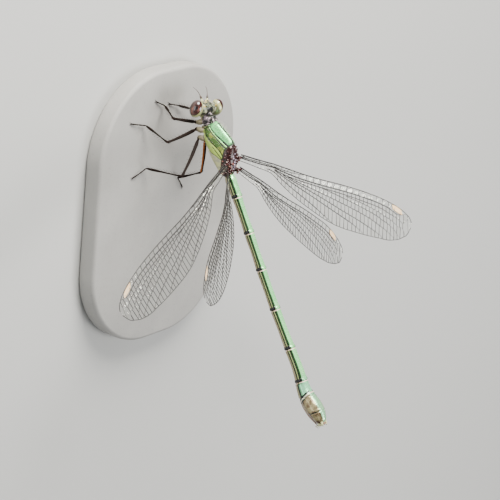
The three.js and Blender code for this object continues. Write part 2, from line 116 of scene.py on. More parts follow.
# Shares of the length: how far along, leading edge ahead, trailing edge behind.
WING_OUTLINE = {
    "front": np.array([
        [0, 0.014, 0.014], [0.1, 0.02, 0.015], [0.18, 0.027, 0.02], [0.24, 0.029, 0.052],
        [0.32, 0.031, 0.086], [0.42, 0.037, 0.117], [0.56, 0.052, 0.145], [0.7, 0.062, 0.142],
        [0.82, 0.062, 0.129], [0.9, 0.053, 0.115], [0.96, 0.036, 0.083], [0.99, 0.017, 0.05],
        [1, 0.002, 0.02],
    ]),
    "hind": np.array([
        [0, 0.014, 0.014], [0.1, 0.02, 0.016], [0.18, 0.027, 0.021], [0.24, 0.03, 0.05],
        [0.32, 0.032, 0.078], [0.42, 0.039, 0.1], [0.56, 0.055, 0.112], [0.7, 0.066, 0.117],
        [0.82, 0.069, 0.112], [0.9, 0.057, 0.097], [0.96, 0.038, 0.071], [0.99, 0.018, 0.045],
        [1, 0.002, 0.02],
    ]),
}
# The wing spot's two ends and the nodus, the notch of the leading edge, as shares of the length.
STIGMA = {"front": (0.871, 0.937), "hind": (0.844, 0.914)}
NODUS = 0.373

# Legs: where the coxa starts under the body and where it ends, in body axes.
HIPS = {"front": (7.5, 0.5, -0.72), "mid": (6.4, 0.74, -0.85), "hind": (5.35, 0.8, -0.95)}
COXA_ENDS = {"front": (7.8, 0.46, -1.7), "mid": (7.0, 0.62, -1.85), "hind": (5.93, 0.62, -2.0)}
# Knee, ankle and toe over the base's top, about the abdomen's joint.
LEGS = {
    "front_left": dict(side=1, knee=(6.9, 4.88, 3.3), ankle=(7.49, 3.06), toe=(8.2, 4.48)),
    "front_right": dict(side=-1, knee=(5.96, -3.19, 2.0), ankle=(7.11, 0.48), toe=(7.49, 1.9)),
    "mid_left": dict(side=1, knee=(4.15, 6.2, 3.8), ankle=(5.49, 6.43), toe=(6.08, 8.97)),
    "mid_right": dict(side=-1, knee=(3.91, -5.36, 2.54), ankle=(6.3, -2.7), toe=(6.7, -4.5)),
    "hind_left": dict(side=1, knee=(0.13, 5.42, 5.9), ankle=(-0.21, 5.81), toe=(-1.15, 8.02)),
    "hind_right": dict(side=-1, knee=(-1.07, -0.86, 3.9), ankle=(-2.68, -0.57), toe=(-4.25, -1.96)),
}
SEED = 7

# Paint for a whole part, by the layer of its finish that shows: the seams' black, the coloured sheen,
# the pale parts and the brown ones.
BARE, SEAM, SHEEN, PALE, BROWN = (0, 0, 0, 0), (1, 0, 0, 0), (0, 1, 0, 0), (0, 0, 1, 0), (0, 0, 0, 1)


def linear(code):
    """The linear colour of an sRGB hex code."""
    part = np.array([int(code[k:k + 2], 16) / 255 for k in (1, 3, 5)])
    return tuple(np.where(part <= 0.04045, part / 12.92, ((part + 0.055) / 1.055) ** 2.4))


# Second shades, which cloud, speckle or edge the colours in the settings; the film's glint, the eye's
# reflection band and pupil are painted light and shade, and the sea green is partly a painted reflection.
TINTS = {name: linear(code) for name, code in {
    "thorax glow": "#8ff29b", "plate green": "#4d6a36", "flank grey": "#8f8d8c",
    "hinge lilac": "#8d7f8c", "hinge brick": "#7d4a3f",
    "abdomen glow": "#b2ffae", "abdomen mint": "#86e890", "sea green": "#93d9b4", "olive line": "#8b9a5a",
    "tail khaki": "#a0946c", "flank brown": "#a2916f", "flank khaki": "#8f8a62", "blade brown": "#8d6d58",
    "prothorax grey": "#4a4d40", "prothorax dark": "#2a2f2a", "prothorax mauve": "#6d6167",
    "prothorax black": "#080608", "prothorax pink": "#c7b4ba",
    "face olive": "#6f7456", "face black": "#12120d", "face cream": "#b9b89c",
    "lip green": "#9aa57c", "lip dark": "#6f7a56",
    "eye olive": "#7e8158", "eye cloud": "#2f3728", "eye rim": "#aca972", "eye brown": "#3f1b15",
    "eye streak": "#7d4f45", "painted_pupil_shade": "#050303",
    "antenna dark": "#2a1c14", "antenna brown": "#4a382a",
    "painted film glint": "#f4f1e4", "vein brown": "#1b130e", "spot cream": "#f6e2bf",
    "coxa khaki": "#8b8268", "hair shade": "#b9b3a2",
}.items()}


def colour(code, name, description):
    """A colour property with its default given as an sRGB hex code."""
    return FloatVectorProperty(name=name, description=description, subtype="COLOR", size=3, min=0, max=1,
                               default=linear(code))


def size(value, name, description):
    """A size property in millimetres."""
    return FloatProperty(name=name, description=description, default=value, min=0, soft_max=50)


class DAMSEL_PG_body(bpy.types.PropertyGroup):
    """Colours of the head, thorax and abdomen."""

    mint: colour("#74e083", "Mint", "Bright metallic green of the back")
    moss: colour("#24481d", "Moss", "Darker metallic green of the sides")
    olive: colour("#b4b851", "Olive", "Yellow sheen on the side plates")
    strip: colour("#a9c257", "Strip", "Yellow-green strip below the side seam")
    seam: colour("#040605", "Seam", "Black of the seams and joints")
    cream: colour("#c9c893", "Cream", "Pale flanks and underside")
    ring: colour("#d8bfb2", "Ring", "Pinkish white ring behind each joint")
    bronze: colour("#5b4632", "Bronze", "Brown of the tail's end and lower sides")
    hinge: colour("#421611", "Wing hinges", "Red-brown plates at the wing roots")
    hair: colour("#e8e4d6", "Hair", "Pale hairs of the thorax and head")


class DAMSEL_PG_head(bpy.types.PropertyGroup):
    """Colours and sizes of the eyes and face."""

    eye_dark: colour("#240b08", "Eye cap", "Mahogany of the outer eye")
    eye_pale: colour("#565e3e", "Eye underside", "Pale green of the inner and rear eye")
    face: colour("#5c6149", "Face", "Grey-green metal of the head")
    patch: colour("#d0a943", "Patch", "Yellow patches of the head")
    facets: IntProperty(name="Facets", description="Rows of facets across an eye", default=46, min=8)
    antenna: size(0.055, "Antenna", "Radius of the antenna's whip")


class DAMSEL_PG_wings(bpy.types.PropertyGroup):
    """Colours and sizes of the wings."""

    vein: colour("#080605", "Vein", "Dark brown of the veins")
    film: colour("#dfe6cf", "Membrane", "Tint of the clear membrane")
    spot: colour("#efbf83", "Wing spot", "Cream of the wing spot")
    opacity: FloatProperty(name="Opacity", description="Share of light that one face of the film stops",
                           subtype="FACTOR", default=0.07, min=0, max=1)
    edge: size(0.085, "Leading edge", "Radius of the leading edge vein")
    main: size(0.068, "Main vein", "Radius of the lengthwise veins")
    cross: size(0.044, "Cross vein", "Radius of the cross veins")
    cell: size(0.62, "Cell", "Length of a cell along the wing")
    film_thickness: size(0.02, "Film", "Thickness of the membrane")


class DAMSEL_PG_legs(bpy.types.PropertyGroup):
    """Colours and sizes of the legs."""

    dark: colour("#120905", "Outer face", "Dark brown of the legs' outer faces")
    amber: colour("#96501a", "Inner face", "Orange brown of the femurs' inner faces")
    femur: size(0.21, "Femur", "Radius of the femur")
    tibia: size(0.115, "Tibia", "Radius of the tibia")
    tarsus: size(0.095, "Tarsus", "Radius of the foot")
    bristle: size(0.62, "Bristle", "Length of the longest leg bristles")


class DAMSEL_PG_stage(bpy.types.PropertyGroup):
    """The plain stage and its lights."""

    floor: colour("#c2c2be", "Floor", "Pale floor")
    base: colour("#a3a19c", "Base", "Light grey display base")
    key: FloatProperty(name="Key light", description="Power of the main light", unit="POWER", default=2.1)
    fill: FloatProperty(name="Fill light", description="Power of the fill light", unit="POWER", default=0.75)
    sky: FloatProperty(name="Sky", description="Strength of the light from all round", default=0.34)


def soft_step(value, low, high):
    """0 below low, 1 above high, and a smooth cubic between them."""
    share = np.clip((value - low) / (high - low), 0, 1)
    return share * share * (3 - 2 * share)


def stripe(value, low, high, soft):
    """1 between low and high, 0 outside, each edge soft by that much."""
    return soft_step(value, low - soft, low + soft) * (1 - soft_step(value, high - soft, high + soft))


def bump_at(value, centre, width):
    """A bell of height 1 at centre, the exponential of minus the squared distance in widths."""
    return np.exp(-(((value - centre) / width) ** 2))


def curve(at, knots, values):
    """A smooth curve through values at knots: a cubic between neighbours, its slope at each knot the
    weighted chord of those on either side."""
    knots, values = np.asarray(knots, float), np.asarray(values, float)
    at = np.clip(np.asarray(at, float), knots[0], knots[-1])
    slopes = np.gradient(values, knots)
    k = np.clip(np.searchsorted(knots, at, side="right") - 1, 0, len(knots) - 2)
    step = knots[k + 1] - knots[k]
    u = (at - knots[k]) / step
    hermite = (2 * u**3 - 3 * u**2 + 1, u**3 - 2 * u**2 + u, 3 * u**2 - 2 * u**3, u**3 - u**2)
    return (hermite[0] * values[k] + hermite[1] * step * slopes[k]
            + hermite[2] * values[k + 1] + hermite[3] * step * slopes[k + 1])


def unit(vectors):
    """Vectors divided by their lengths."""
    vectors = np.asarray(vectors, float)
    return vectors / np.maximum(np.linalg.norm(vectors, axis=-1, keepdims=True), 1e-9)


def power(value, exponent):
    """The value's size raised to the exponent, with the value's sign."""
    return np.sign(value) * np.abs(value) ** exponent


def scatter(*keys):
    """A repeatable number from 0 to 1 for each set of keys: the fraction of a large sine."""
    total = sum(np.asarray(key, float) * weight for key, weight in zip(keys, (12.9898, 78.233, 37.719)))
    return np.modf(np.abs(np.sin(total) * 43758.5453))[0]


def body_to_row(points):
    """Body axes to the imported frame, in millimetres: turned down by the pitch about y, then moved to
    the abdomen's joint."""
    x, y, z = np.moveaxis(np.asarray(points, float), -1, 0)
    c, s = cos(BODY_PITCH), sin(BODY_PITCH)
    return ABDOMEN_JOINT + np.stack([c * x + s * z, y, c * z - s * x], -1)


def head_to_body(points):
    """Head axes to body axes: the face turned down about y, then to one side about z."""
    x, y, z = np.moveaxis(np.asarray(points, float), -1, 0)
    c, s = cos(HEAD_PITCH), sin(HEAD_PITCH)
    x, z = c * x + s * z, c * z - s * x
    c, s = cos(HEAD_TURN), sin(HEAD_TURN)
    return HEAD_CENTRE + np.stack([c * x - s * y, s * x + c * y, z], -1)


class Shell:
    """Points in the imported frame, faces and paint of one piece, gathered part by part."""

    def __init__(self):
        self.points, self.paints, self.quads, self.triangles, self.count = [], [], [], [], 0

    def add(self, points, quads=None, triangles=None, paint=None):
        """Adds a closed part. Its faces are turned round if their signed volume is negative."""
        points = np.asarray(points, float).reshape(-1, 3)
        quads = np.zeros((0, 4), int) if quads is None else np.asarray(quads, int).reshape(-1, 4)
        triangles = np.zeros((0, 3), int) if triangles is None else np.asarray(triangles, int).reshape(-1, 3)
        centred = points - points.mean(0)
        split = np.vstack([quads[:, :3], quads[:, [0, 2, 3]], triangles])
        a, b, c = (centred[split[:, k]] for k in range(3))
        if np.einsum("ij,ij->", a, np.cross(b, c)) < 0:
            quads, triangles = quads[:, ::-1], triangles[:, ::-1]
        paint = np.zeros((len(points), 4)) if paint is None else np.asarray(paint, float).reshape(-1, 4)
        self.points.append(points)
        self.paints.append(paint)
        self.quads.append(quads + self.count)
        self.triangles.append(triangles + self.count)
        self.count += len(points)

    def make(self, name, material, slot, replaces=()):
        """Makes the mesh object, smooth, with the paint as a colour attribute, riding on the root."""
        points = np.concatenate(self.points) * MM
        quads, triangles = np.concatenate(self.quads), np.concatenate(self.triangles)
        mesh = bpy.data.meshes.new(name)
        mesh.vertices.add(len(points))
        mesh.vertices.foreach_set("co", points.astype(np.float32).ravel())
        mesh.loops.add(quads.size + triangles.size)
        corners = np.concatenate([quads.ravel(), triangles.ravel()])
        mesh.loops.foreach_set("vertex_index", corners.astype(np.int32))
        mesh.polygons.add(len(quads) + len(triangles))
        starts = np.concatenate([4 * np.arange(len(quads)), quads.size + 3 * np.arange(len(triangles))])
        mesh.polygons.foreach_set("loop_start", starts.astype(np.int32))
        mesh.update(calc_edges=True)
        mesh.polygons.foreach_set("use_smooth", np.ones(len(mesh.polygons), bool))
        paint = mesh.attributes.new("paint", "FLOAT_COLOR", "POINT")
        paint.data.foreach_set("color", np.concatenate(self.paints).astype(np.float32).ravel())
        mesh.materials.append(material)
        piece = bpy.data.objects.new(name, mesh)
        bpy.context.scene.collection.objects.link(piece)
        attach(piece, "root")
        if replaces:
            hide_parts(*replaces)


def add_rings(shell, rings, paint=None):
    """Adds a closed skin over rings (n, m, 3): quads between neighbours, and a fan to each end's mean."""
    n, m = rings.shape[:2]
    index = np.arange(n * m).reshape(n, m)
    ahead = np.roll(index, -1, axis=1)
    quads = np.stack([index[:-1], ahead[:-1], ahead[1:], index[1:]], -1).reshape(-1, 4)
    ends = [(index[0], ahead[0], n * m, 1), (index[-1], ahead[-1], n * m + 1, -1)]
    triangles = [np.stack([b, a, np.full(m, tip)][::way], -1) for a, b, tip, way in ends]
    points = np.concatenate([rings.reshape(-1, 3), rings[0].mean(0)[None], rings[-1].mean(0)[None]])
    if paint is not None:
        paint = np.concatenate([paint.reshape(-1, 4), paint[0].mean(0)[None], paint[-1].mean(0)[None]])
    shell.add(points, quads, np.concatenate(triangles), paint)


def tube_rings(path, radii, sides, up=(0, 0, 1), flat=1.0):
    """Rings round a path (n, 3): at each point a circle of the radius there, across the path's
    direction, pressed flat along the up side."""
    path = np.asarray(path, float)
    along = unit(np.gradient(path, axis=0))
    across = unit(np.cross(np.broadcast_to(np.asarray(up, float), along.shape), along))
    over = np.cross(along, across)
    angle = circle_angles(sides)
    radii = np.broadcast_to(radii, len(path))[:, None, None]
    return (path[:, None] + radii * np.cos(angle)[None, :, None] * across[:, None]
            + flat * radii * np.sin(angle)[None, :, None] * over[:, None])


def joined(*parts):
    """Arrays stretched to one shape and set side by side along a new last axis."""
    return np.stack(np.broadcast_arrays(*parts), -1)


def circle_angles(count):
    """Angles evenly round a circle, from 0."""
    return 2 * np.pi * np.arange(count) / count


def ball_points(rows, columns):
    """Points of a unit ball without its poles: circles whose radius is the cosine of the latitude and
    whose height is its sine."""
    latitude = np.linspace(-np.pi / 2, np.pi / 2, rows + 2)[1:-1, None]
    angle = circle_angles(columns)
    return joined(np.cos(latitude) * np.cos(angle), np.cos(latitude) * np.sin(angle), np.sin(latitude))


def add_blob(shell, centre, radii, paint=BARE, rows=10, columns=16, axes=np.eye(3), place=body_to_row):
    """Adds an ellipsoid: a unit ball stretched by the radii, turned to the axes and moved to its middle."""
    points = np.asarray(centre) + (ball_points(rows, columns) * radii) @ axes
    add_rings(shell, place(points), np.broadcast_to(paint, (rows, columns, 4)))


def add_struts(shell, starts, ends, radius, sides, taper=1.0, up=(0.1, 0.2, 1)):
    """Adds a straight prism from each start to each end, in one array; taper is the far end's share of
    the radius."""
    starts, ends = np.asarray(starts, float), np.asarray(ends, float)
    count = len(starts)
    along = unit(ends - starts)
    across = unit(np.cross(np.broadcast_to(np.asarray(up, float), along.shape), along))
    over = np.cross(along, across)
    angle = circle_angles(sides)
    circle = np.cos(angle)[None, :, None] * across[:, None] + np.sin(angle)[None, :, None] * over[:, None]
    circle = circle * np.broadcast_to(radius, count)[:, None, None]
    points = np.concatenate([starts[:, None] + circle, ends[:, None] + taper * circle], 1)
    k = np.arange(sides)
    walls = np.stack([k, (k + 1) % sides, (k + 1) % sides + sides, k + sides], -1)
    fan = np.stack([np.zeros(sides - 2, int), k[2:], k[1:-1]], -1)
    offset = (2 * sides * np.arange(count))[:, None, None]
    quads = walls[None] + offset
    triangles = np.concatenate([fan[None] + offset, fan[None, :, ::-1] + sides + offset], 1)
    shell.add(points, quads, triangles)


def add_bristles(shell, roots, tips, radius, bow, sides):
    """Adds a bristle from each root to each tip: two tapering lengths that meet a little past half way,
    off the straight line by the bow's share of the length."""
    reach = tips - roots
    side = unit(np.cross(reach, (0.3, 0.2, 1))) * np.linalg.norm(reach, axis=-1, keepdims=True) * bow
    middle = roots + 0.55 * reach + side
    add_struts(shell, roots, middle, radius, sides, 0.6)
    add_struts(shell, middle, tips, 0.6 * radius, sides, 0.12)


class Graph:
    """The nodes of one material, added one at a time, with sockets given as values or as links."""

    def __init__(self, name):
        self.material = bpy.data.materials.new(name)
        self.material.use_nodes = True
        self.tree = self.material.node_tree
        self.tree.nodes.clear()
        self.output = self.add("ShaderNodeOutputMaterial")

    def add(self, kind, inputs=None, **settings):
        """Adds a node; inputs maps socket names or numbers to values or to other nodes' sockets."""
        node = self.tree.nodes.new(kind)
        for key, value in settings.items():
            setattr(node, key, value)
        for key, value in (inputs or {}).items():
            if isinstance(value, bpy.types.NodeSocket):
                self.tree.links.new(value, node.inputs[key])
            else:
                node.inputs[key].default_value = value
        return node

    def millimetres(self):
        """The object's own coordinates in millimetres."""
        place = self.add("ShaderNodeTexCoord").outputs["Object"]
        return self.add("ShaderNodeMapping", {"Vector": place, "Scale": (1000, 1000, 1000)}).outputs[0]

    def noise(self, scale, detail=4.0, roughness=0.6):
        """Noise with that many features to the millimetre."""
        return self.add("ShaderNodeTexNoise", {"Vector": self.millimetres(), "Scale": scale, "Detail": detail,
                                               "Roughness": roughness}).outputs["Fac"]

    def cells(self, scale):
        """Distance to the nearest of that many cells to the millimetre."""
        inputs = {"Vector": self.millimetres(), "Scale": scale}
        return self.add("ShaderNodeTexVoronoi", inputs, feature="F1").outputs["Distance"]

    def fit(self, value, low, high, to_low=0, to_high=1):
        """A value carried from one range to another, and held inside it."""
        return self.add("ShaderNodeMapRange", {"Value": value, "From Min": low, "From Max": high,
                                               "To Min": to_low, "To Max": to_high}).outputs[0]

    def math(self, operation, a, b):
        """Two numbers added or multiplied."""
        return self.add("ShaderNodeMath", {0: a, 1: b}, operation=operation).outputs[0]

    def mix(self, share, a, b):
        """Colour a where share is 0, and b where it is 1."""
        a, b = ((*c, 1) if isinstance(c, tuple) else c for c in (a, b))
        return self.add("ShaderNodeMix", {0: share, 6: a, 7: b}, data_type="RGBA").outputs[2]

    def blend(self, share, a, b):
        """Number a where share is 0, and b where it is 1."""
        return self.add("ShaderNodeMix", {0: share, 2: a, 3: b}, data_type="FLOAT").outputs[0]

    def paint(self):
        """The piece's four painted channels."""
        source = self.add("ShaderNodeAttribute", attribute_name="paint")
        parts = self.add("ShaderNodeSeparateColor", {"Color": source.outputs["Color"]})
        return [*parts.outputs[:3], source.outputs["Alpha"]]

    def bump(self, height, distance, strength=1.0, under=None):
        """A bump of that many millimetres at full height."""
        inputs = {"Height": height, "Distance": distance * MM, "Strength": strength}
        if under is not None:
            inputs["Normal"] = under
        return self.add("ShaderNodeBump", inputs).outputs[0]

    def surface(self, inputs):
        """A Principled shader on the output."""
        shader = self.add("ShaderNodeBsdfPrincipled", inputs)
        self.tree.links.new(shader.outputs[0], self.output.inputs["Surface"])
        return self.material


def rgb(value, share=1.0):
    """A property's colour as a plain tuple, each part multiplied by the share."""
    return tuple(share * part for part in value)


# Noise values between which a cuticle's dark specks fade in, and its pale ones.
SPECKS = ((0.48, 0.43), (0.56, 0.6))
# How much a cuticle reflects where it has a glossy coat and where it is matt.
GLOSSY, MATT = 0.5, 0.12


def cuticle(name, base, second, layers, metal, rough, grain=9.0, specks=(), coat=0.35):
    """Insect cuticle: a base colour clouded with a second, then each painted layer over it with its own
    colour, metal and roughness, specks of two further colours, fine pits and a soft unevenness."""
    graph = Graph(name)
    cloud = graph.fit(graph.noise(1.3, 5), 0.35, 0.68)
    shade = graph.mix(cloud, base, second)
    metallic, roughness = metal, graph.blend(graph.noise(5, 3), rough * 0.75, rough * 1.3)
    for channel, (tint, layer_metal, layer_rough) in zip(graph.paint(), layers):
        edge = graph.math("ADD", channel, graph.fit(graph.noise(7, 3), 0.3, 0.7, -0.12, 0.12))
        share = graph.fit(edge, 0.35, 0.65)
        shade = graph.mix(share, shade, tint)
        metallic = graph.blend(share, metallic, layer_metal)
        roughness = graph.blend(share, roughness, layer_rough)
    for speck, (low, high) in zip(specks, SPECKS):
        shade = graph.mix(graph.fit(graph.noise(2.2, 3), low, high, 0, 0.95), shade, speck)
    pits = graph.bump(graph.noise(grain, 2), 0.012, 0.5)
    uneven = graph.bump(graph.noise(2.2, 3), 0.05, 0.35, pits)
    return graph.surface({"Base Color": shade, "Metallic": metallic, "Roughness": roughness, "Normal": uneven,
                          "Coat Weight": coat, "Coat Roughness": 0.12,
                          "Specular IOR Level": GLOSSY if coat else MATT})


def thorax_cuticle(body):
    """The thorax's finish: mint metal that deepens to moss and olive on the side plates, the strip and
    the cream flank over it, the hinge field darkened as painted shade between the knobs, and the seams on
    top."""
    graph = Graph("thorax cuticle")
    seam, plate, pale, hinge = graph.paint()
    cloud = graph.fit(graph.noise(0.9, 4), 0.32, 0.7)
    mint = graph.mix(cloud, TINTS["thorax glow"], rgb(body.mint))
    sheen = graph.fit(graph.noise(0.75, 3), 0.46, 0.62)
    olive = graph.mix(sheen, TINTS["plate green"], rgb(body.olive))
    shade = graph.mix(graph.fit(plate, 0.3, 0.6), mint, olive)
    patchy = graph.fit(graph.noise(1.6, 4), 0.45, 0.6, 0, 0.6)
    cream = graph.mix(patchy, rgb(body.cream), TINTS["flank grey"])
    flank = graph.mix(graph.fit(pale, 0.6, 0.9), rgb(body.strip), cream)
    on_flank = graph.fit(pale, 0.12, 0.38)
    shade = graph.mix(on_flank, shade, flank)
    # Under and between the hinge knobs the field takes the hinge colour at a third of its brightness: painted
    # shade.
    on_shaded_hinge = graph.fit(hinge, 0.35, 0.65)
    shade = graph.mix(on_shaded_hinge, shade, rgb(body.hinge, 0.35))
    on_seam = graph.fit(seam, 0.3, 0.62)
    shade = graph.mix(on_seam, shade, rgb(body.seam))
    metal = graph.blend(on_flank, 0.72, 0.1)
    metal = graph.blend(on_shaded_hinge, metal, 0.05)
    rough = graph.blend(on_flank, graph.fit(graph.noise(5, 3), 0.3, 0.7, 0.2, 0.36), 0.46)
    pits = graph.bump(graph.noise(11, 2), 0.006, 0.4)
    return graph.surface({"Base Color": shade, "Metallic": graph.blend(on_seam, metal, 0.0),
                          "Roughness": graph.blend(on_seam, rough, 0.7),
                          "Normal": graph.bump(graph.noise(1.6, 3), 0.03, 0.3, pits),
                          "Coat Weight": 0.04, "Coat Roughness": 0.25})


def thorax_point(x, angle, inset=0.0):
    """A point of the thorax in body axes: at x, a rounded section whose upper half is a superellipse of
    the station's squareness and whose lower half is nearly an ellipse; angle is from the back's
    middle towards the left."""
    knots = THORAX[:, 0]
    width, top, bottom, square = (curve(x, knots, THORAX[:, k]) for k in range(1, 5))
    middle = (top + 2 * bottom) / 3
    across, up = np.sin(angle), np.cos(angle)
    exponent = 2 / np.where(up > 0, square, 2.3)
    y = width * power(across, exponent)
    z = middle + power(up, exponent) * np.where(up > 0, top - middle, middle - bottom)
    centre = joined(x, 0.0, middle)
    point = joined(x, y, z)
    return point - np.asarray(inset)[..., None] * unit(point - centre)


def thorax_polar(points, x):
    """The angle in degrees round the thorax from the back's middle, of points in body axes, as seen
    from the section's middle."""
    top, bottom = (curve(x, THORAX[:, 0], THORAX[:, k]) for k in (2, 3))
    return np.degrees(np.arctan2(np.abs(points[..., 1]), points[..., 2] - (top + 2 * bottom) / 3))


# Seams of the thorax: x, and the angle round from the back's middle, from behind to the front. The
# shoulder seam edges the mint plate, the side seam the olive one, and two more run below it.
SHOULDER_SEAM = np.array([(3.3, 19), (3.82, 24.3), (4.58, 31.5), (5.37, 40.4), (6.23, 48.9), (6.9, 54)])
SIDE_SEAM = np.array([(2.39, 45.6), (2.85, 49.2), (3.41, 55.1), (4.05, 67.8), (4.95, 82.7), (5.63, 91.7),
                      (6.23, 97.4), (6.6, 100)])
THIRD_SEAM = np.array([(2.3, 55.5), (2.82, 63), (3.6, 76), (4.15, 86.1)])
LOW_SEAM = np.array([(1.9, 50), (2.11, 58.9), (2.81, 80.7), (3.49, 107.5), (4.4, 124), (5.6, 131)])
# Painted lines along the seams: from how many degrees above each to how many below, and how soft the
# edges are. Two black lines with a pale strip between them follow the shoulder seam.
SHOULDER_LINES = ((-6.5, 1.0, 0.6), (5.6, 12.5, 0.8))
SHOULDER_STRIP = (2.2, 4.4, 0.5)
THIRD_LINE, LOW_LINE = (-2.2, 2.6, 0.6), (-3.5, 0.5, 0.8)
# The keel's black line fades between these distances from the middle.
KEEL_LINE = (0.15, 0.18)
# The thorax's relief: how far the keel and the side plate rise, how deep the seams are cut, and how far
# the whole skin lies inside the section.
KEEL_RISE, PLATE_RISE, SEAM_DEPTH, SKIN_INSET = 0.05, 0.03, 0.045, 0.02
# Where the plates end and the wing hinges start: the angle round, and x there.
PLATES_END = np.array([(0, 3.5), (19, 3.3), (36, 2.95), (46, 2.39), (58, 1.95), (81, 1.14), (120, 0.9),
                       (180, 0.8)])


def seam_gap(seam, x, degrees):
    """How many degrees a point lies below a seam at its own x."""
    return degrees - np.interp(x, seam[:, 0], seam[:, 1])


def thorax_paint(points, x):
    """Where the thorax is black seam, olive side plate, pale flank and hinge field: stripes and soft
    steps of how far a point lies below each seam, and of its x against the plates' end."""
    round_ = thorax_polar(points, x)
    gaps = [seam_gap(seam, x, round_) for seam in (SHOULDER_SEAM, SIDE_SEAM, THIRD_SEAM, LOW_SEAM)]
    shoulder, side, third, low = gaps
    end = np.interp(round_, PLATES_END[:, 0], PLATES_END[:, 1])
    plates = soft_step(x, end - 0.06, end + 0.06)
    front = 1 - soft_step(x, 6.55, 6.8)
    seams = (1 - soft_step(np.abs(points[..., 1]), *KEEL_LINE)) * soft_step(x, 3.4, 3.7)
    seams = seams + sum(stripe(shoulder, *line) for line in SHOULDER_LINES)
    seams = seams + stripe(side, -3.2, 1.6 + 4 * soft_step(x, 3.4, 5), 0.6)
    seams = seams + stripe(third, *THIRD_LINE) * (x < THIRD_SEAM[-1, 0])
    seams = seams + stripe(low, *LOW_LINE) * (x < LOW_SEAM[-1, 0])
    seams = seams + stripe(x, end - 0.02, end + 0.16, 0.04) * (round_ < 75)
    seams = seams + soft_step(x, 6.5, 6.62) * (round_ > 40)
    pale = 0.75 * stripe(shoulder, *SHOULDER_STRIP) + 0.42 * soft_step(side, 0, 1.5)
    pale = np.clip(pale + 0.6 * soft_step(low, -2, 1), 0, 1)
    olive = soft_step(shoulder, 8.5, 9.6) * (1 - soft_step(side, -1.5, 0.5))
    # The field under the hinge knobs, which the finish darkens as painted shade.
    hinge = (1 - plates) * (1 - soft_step(round_, 104, 122))
    return np.stack([np.clip(seams, 0, 1) * plates * front, olive * plates, pale * (1 - hinge), hinge], -1)


class DAMSEL_OT_thorax(bpy.types.Operator):
    """Lays the green thorax skin, with its raised keel and sunk seams"""

    bl_idname = "damsel.thorax"
    bl_label = "Thorax"

    def execute(self, context):
        body = context.scene.damsel_body
        rows, columns = 225, 400
        # Rows crowd towards both ends by half of one minus a cosine.
        share = (1 - np.cos(np.pi * np.linspace(0, 1, rows))) / 2
        x = THORAX[0, 0] + (THORAX[-1, 0] - THORAX[0, 0]) * share
        angle = 2 * np.pi * (np.arange(columns) + 0.5) / columns - np.pi
        x, angle = np.meshgrid(x, angle, indexing="ij")
        plain = thorax_point(x, angle)
        paint = thorax_paint(plain, x)
        keel = KEEL_RISE * bump_at(plain[..., 1], 0, 0.09) * stripe(x, 3.7, 6.5, 0.2)
        lift = keel - SEAM_DEPTH * paint[..., 0] - SKIN_INSET + PLATE_RISE * paint[..., 1]
        shell = Shell()
        add_rings(shell, body_to_row(thorax_point(x, angle, -lift)), paint)
        shell.make("thorax_skin", thorax_cuticle(body), "green_cuticle", ["thorax"])
        return {"FINISHED"}


# How strongly a hinge's knobs are painted.
KNOB_TINT = 0.9


class DAMSEL_OT_hinges(bpy.types.Operator):
    """Sets the knobbed plates at the wing roots and between them"""

    bl_idname = "damsel.hinges"
    bl_label = "Wing hinges"

    def execute(self, context):
        body = context.scene.damsel_body
        rng = np.random.default_rng(SEED)
        shell = Shell()
        self.cover_field(shell, rng)
        for pose in WINGS.values():
            self.wing_root(shell, rng, pose)
        for x in np.linspace(0.6, 3.0, 11):
            top = polar_point(x, radians(rng.uniform(-7, 7)))
            paint = SHEEN if x < 2.3 else BARE
            radii = rng.uniform(0.1, 0.19, 3) * (1.2, 1, 0.8)
            add_blob(shell, top - (0, 0, 0.02), radii, np.multiply(KNOB_TINT, paint), 10, 18, rotation(rng))
        plates = cuticle("hinge cuticle", rgb(body.hinge), rgb(body.hinge, 0.4), [
            (rgb(body.seam), 0.1, 0.3), (TINTS["hinge lilac"], 0.2, 0.3), (rgb(body.ring), 0.05, 0.3),
            (TINTS["hinge brick"], 0.1, 0.22)], 0.15, 0.16, 14)
        shell.make("wing_hinges", plates, "bronze_cuticle")
        return {"FINISHED"}

    def cover_field(self, shell, rng):
        """Sets knobs in rows across the field behind the plates, in lanes that shift by turns."""
        for row, x in enumerate(np.linspace(0.55, 3.15, 9)):
            limit = float(np.interp(x, PLATES_END[::-1, 1], PLATES_END[::-1, 0]))
            for lane in np.arange(14 + 9 * (row % 2), min(limit, 100), 19):
                for side in (-1, 1):
                    at_x, turn = x + rng.uniform(-0.08, 0.08), radians(lane + rng.uniform(-4, 4))
                    centre = polar_point(at_x, side * turn)
                    radii = rng.uniform(0.1, 0.19, 3) * (1, 1, 1.2)
                    kind = rng.random()
                    paint = PALE if kind > 0.88 else BROWN if 0.62 < kind < 0.8 else BARE
                    add_blob(shell, centre, radii, np.multiply(KNOB_TINT, paint), axes=rotation(rng))

    def wing_root(self, shell, rng, pose):
        """Sets knobs along a spiral that widens round a wing's root, and the root's own tapering stalk."""
        side = pose["side"]
        root = np.array(pose["root"]) * (1, side, 1)
        for knob in range(7):
            spread = np.array([0.42 * cos(2.4 * knob), 0, 0.32 * sin(2.4 * knob)]) * (0.3 + 0.1 * knob)
            centre = root + spread + np.array([0, -side, 0]) * (0.1 + 0.07 * knob)
            paint = {4: BROWN, 5: PALE}.get(knob, BARE)
            radii = rng.uniform(0.11, 0.2, 3) * (1.2, 0.9, 1)
            add_blob(shell, centre, radii, np.multiply(KNOB_TINT, paint), axes=rotation(rng))
        reach = root + np.array([[0, side * 0.75, 0.02], [0, 0, 0], [0.1, -side * 0.5, -0.15]])
        add_rings(shell, body_to_row(tube_rings(reach, [0.09, 0.15, 0.2], 14)))


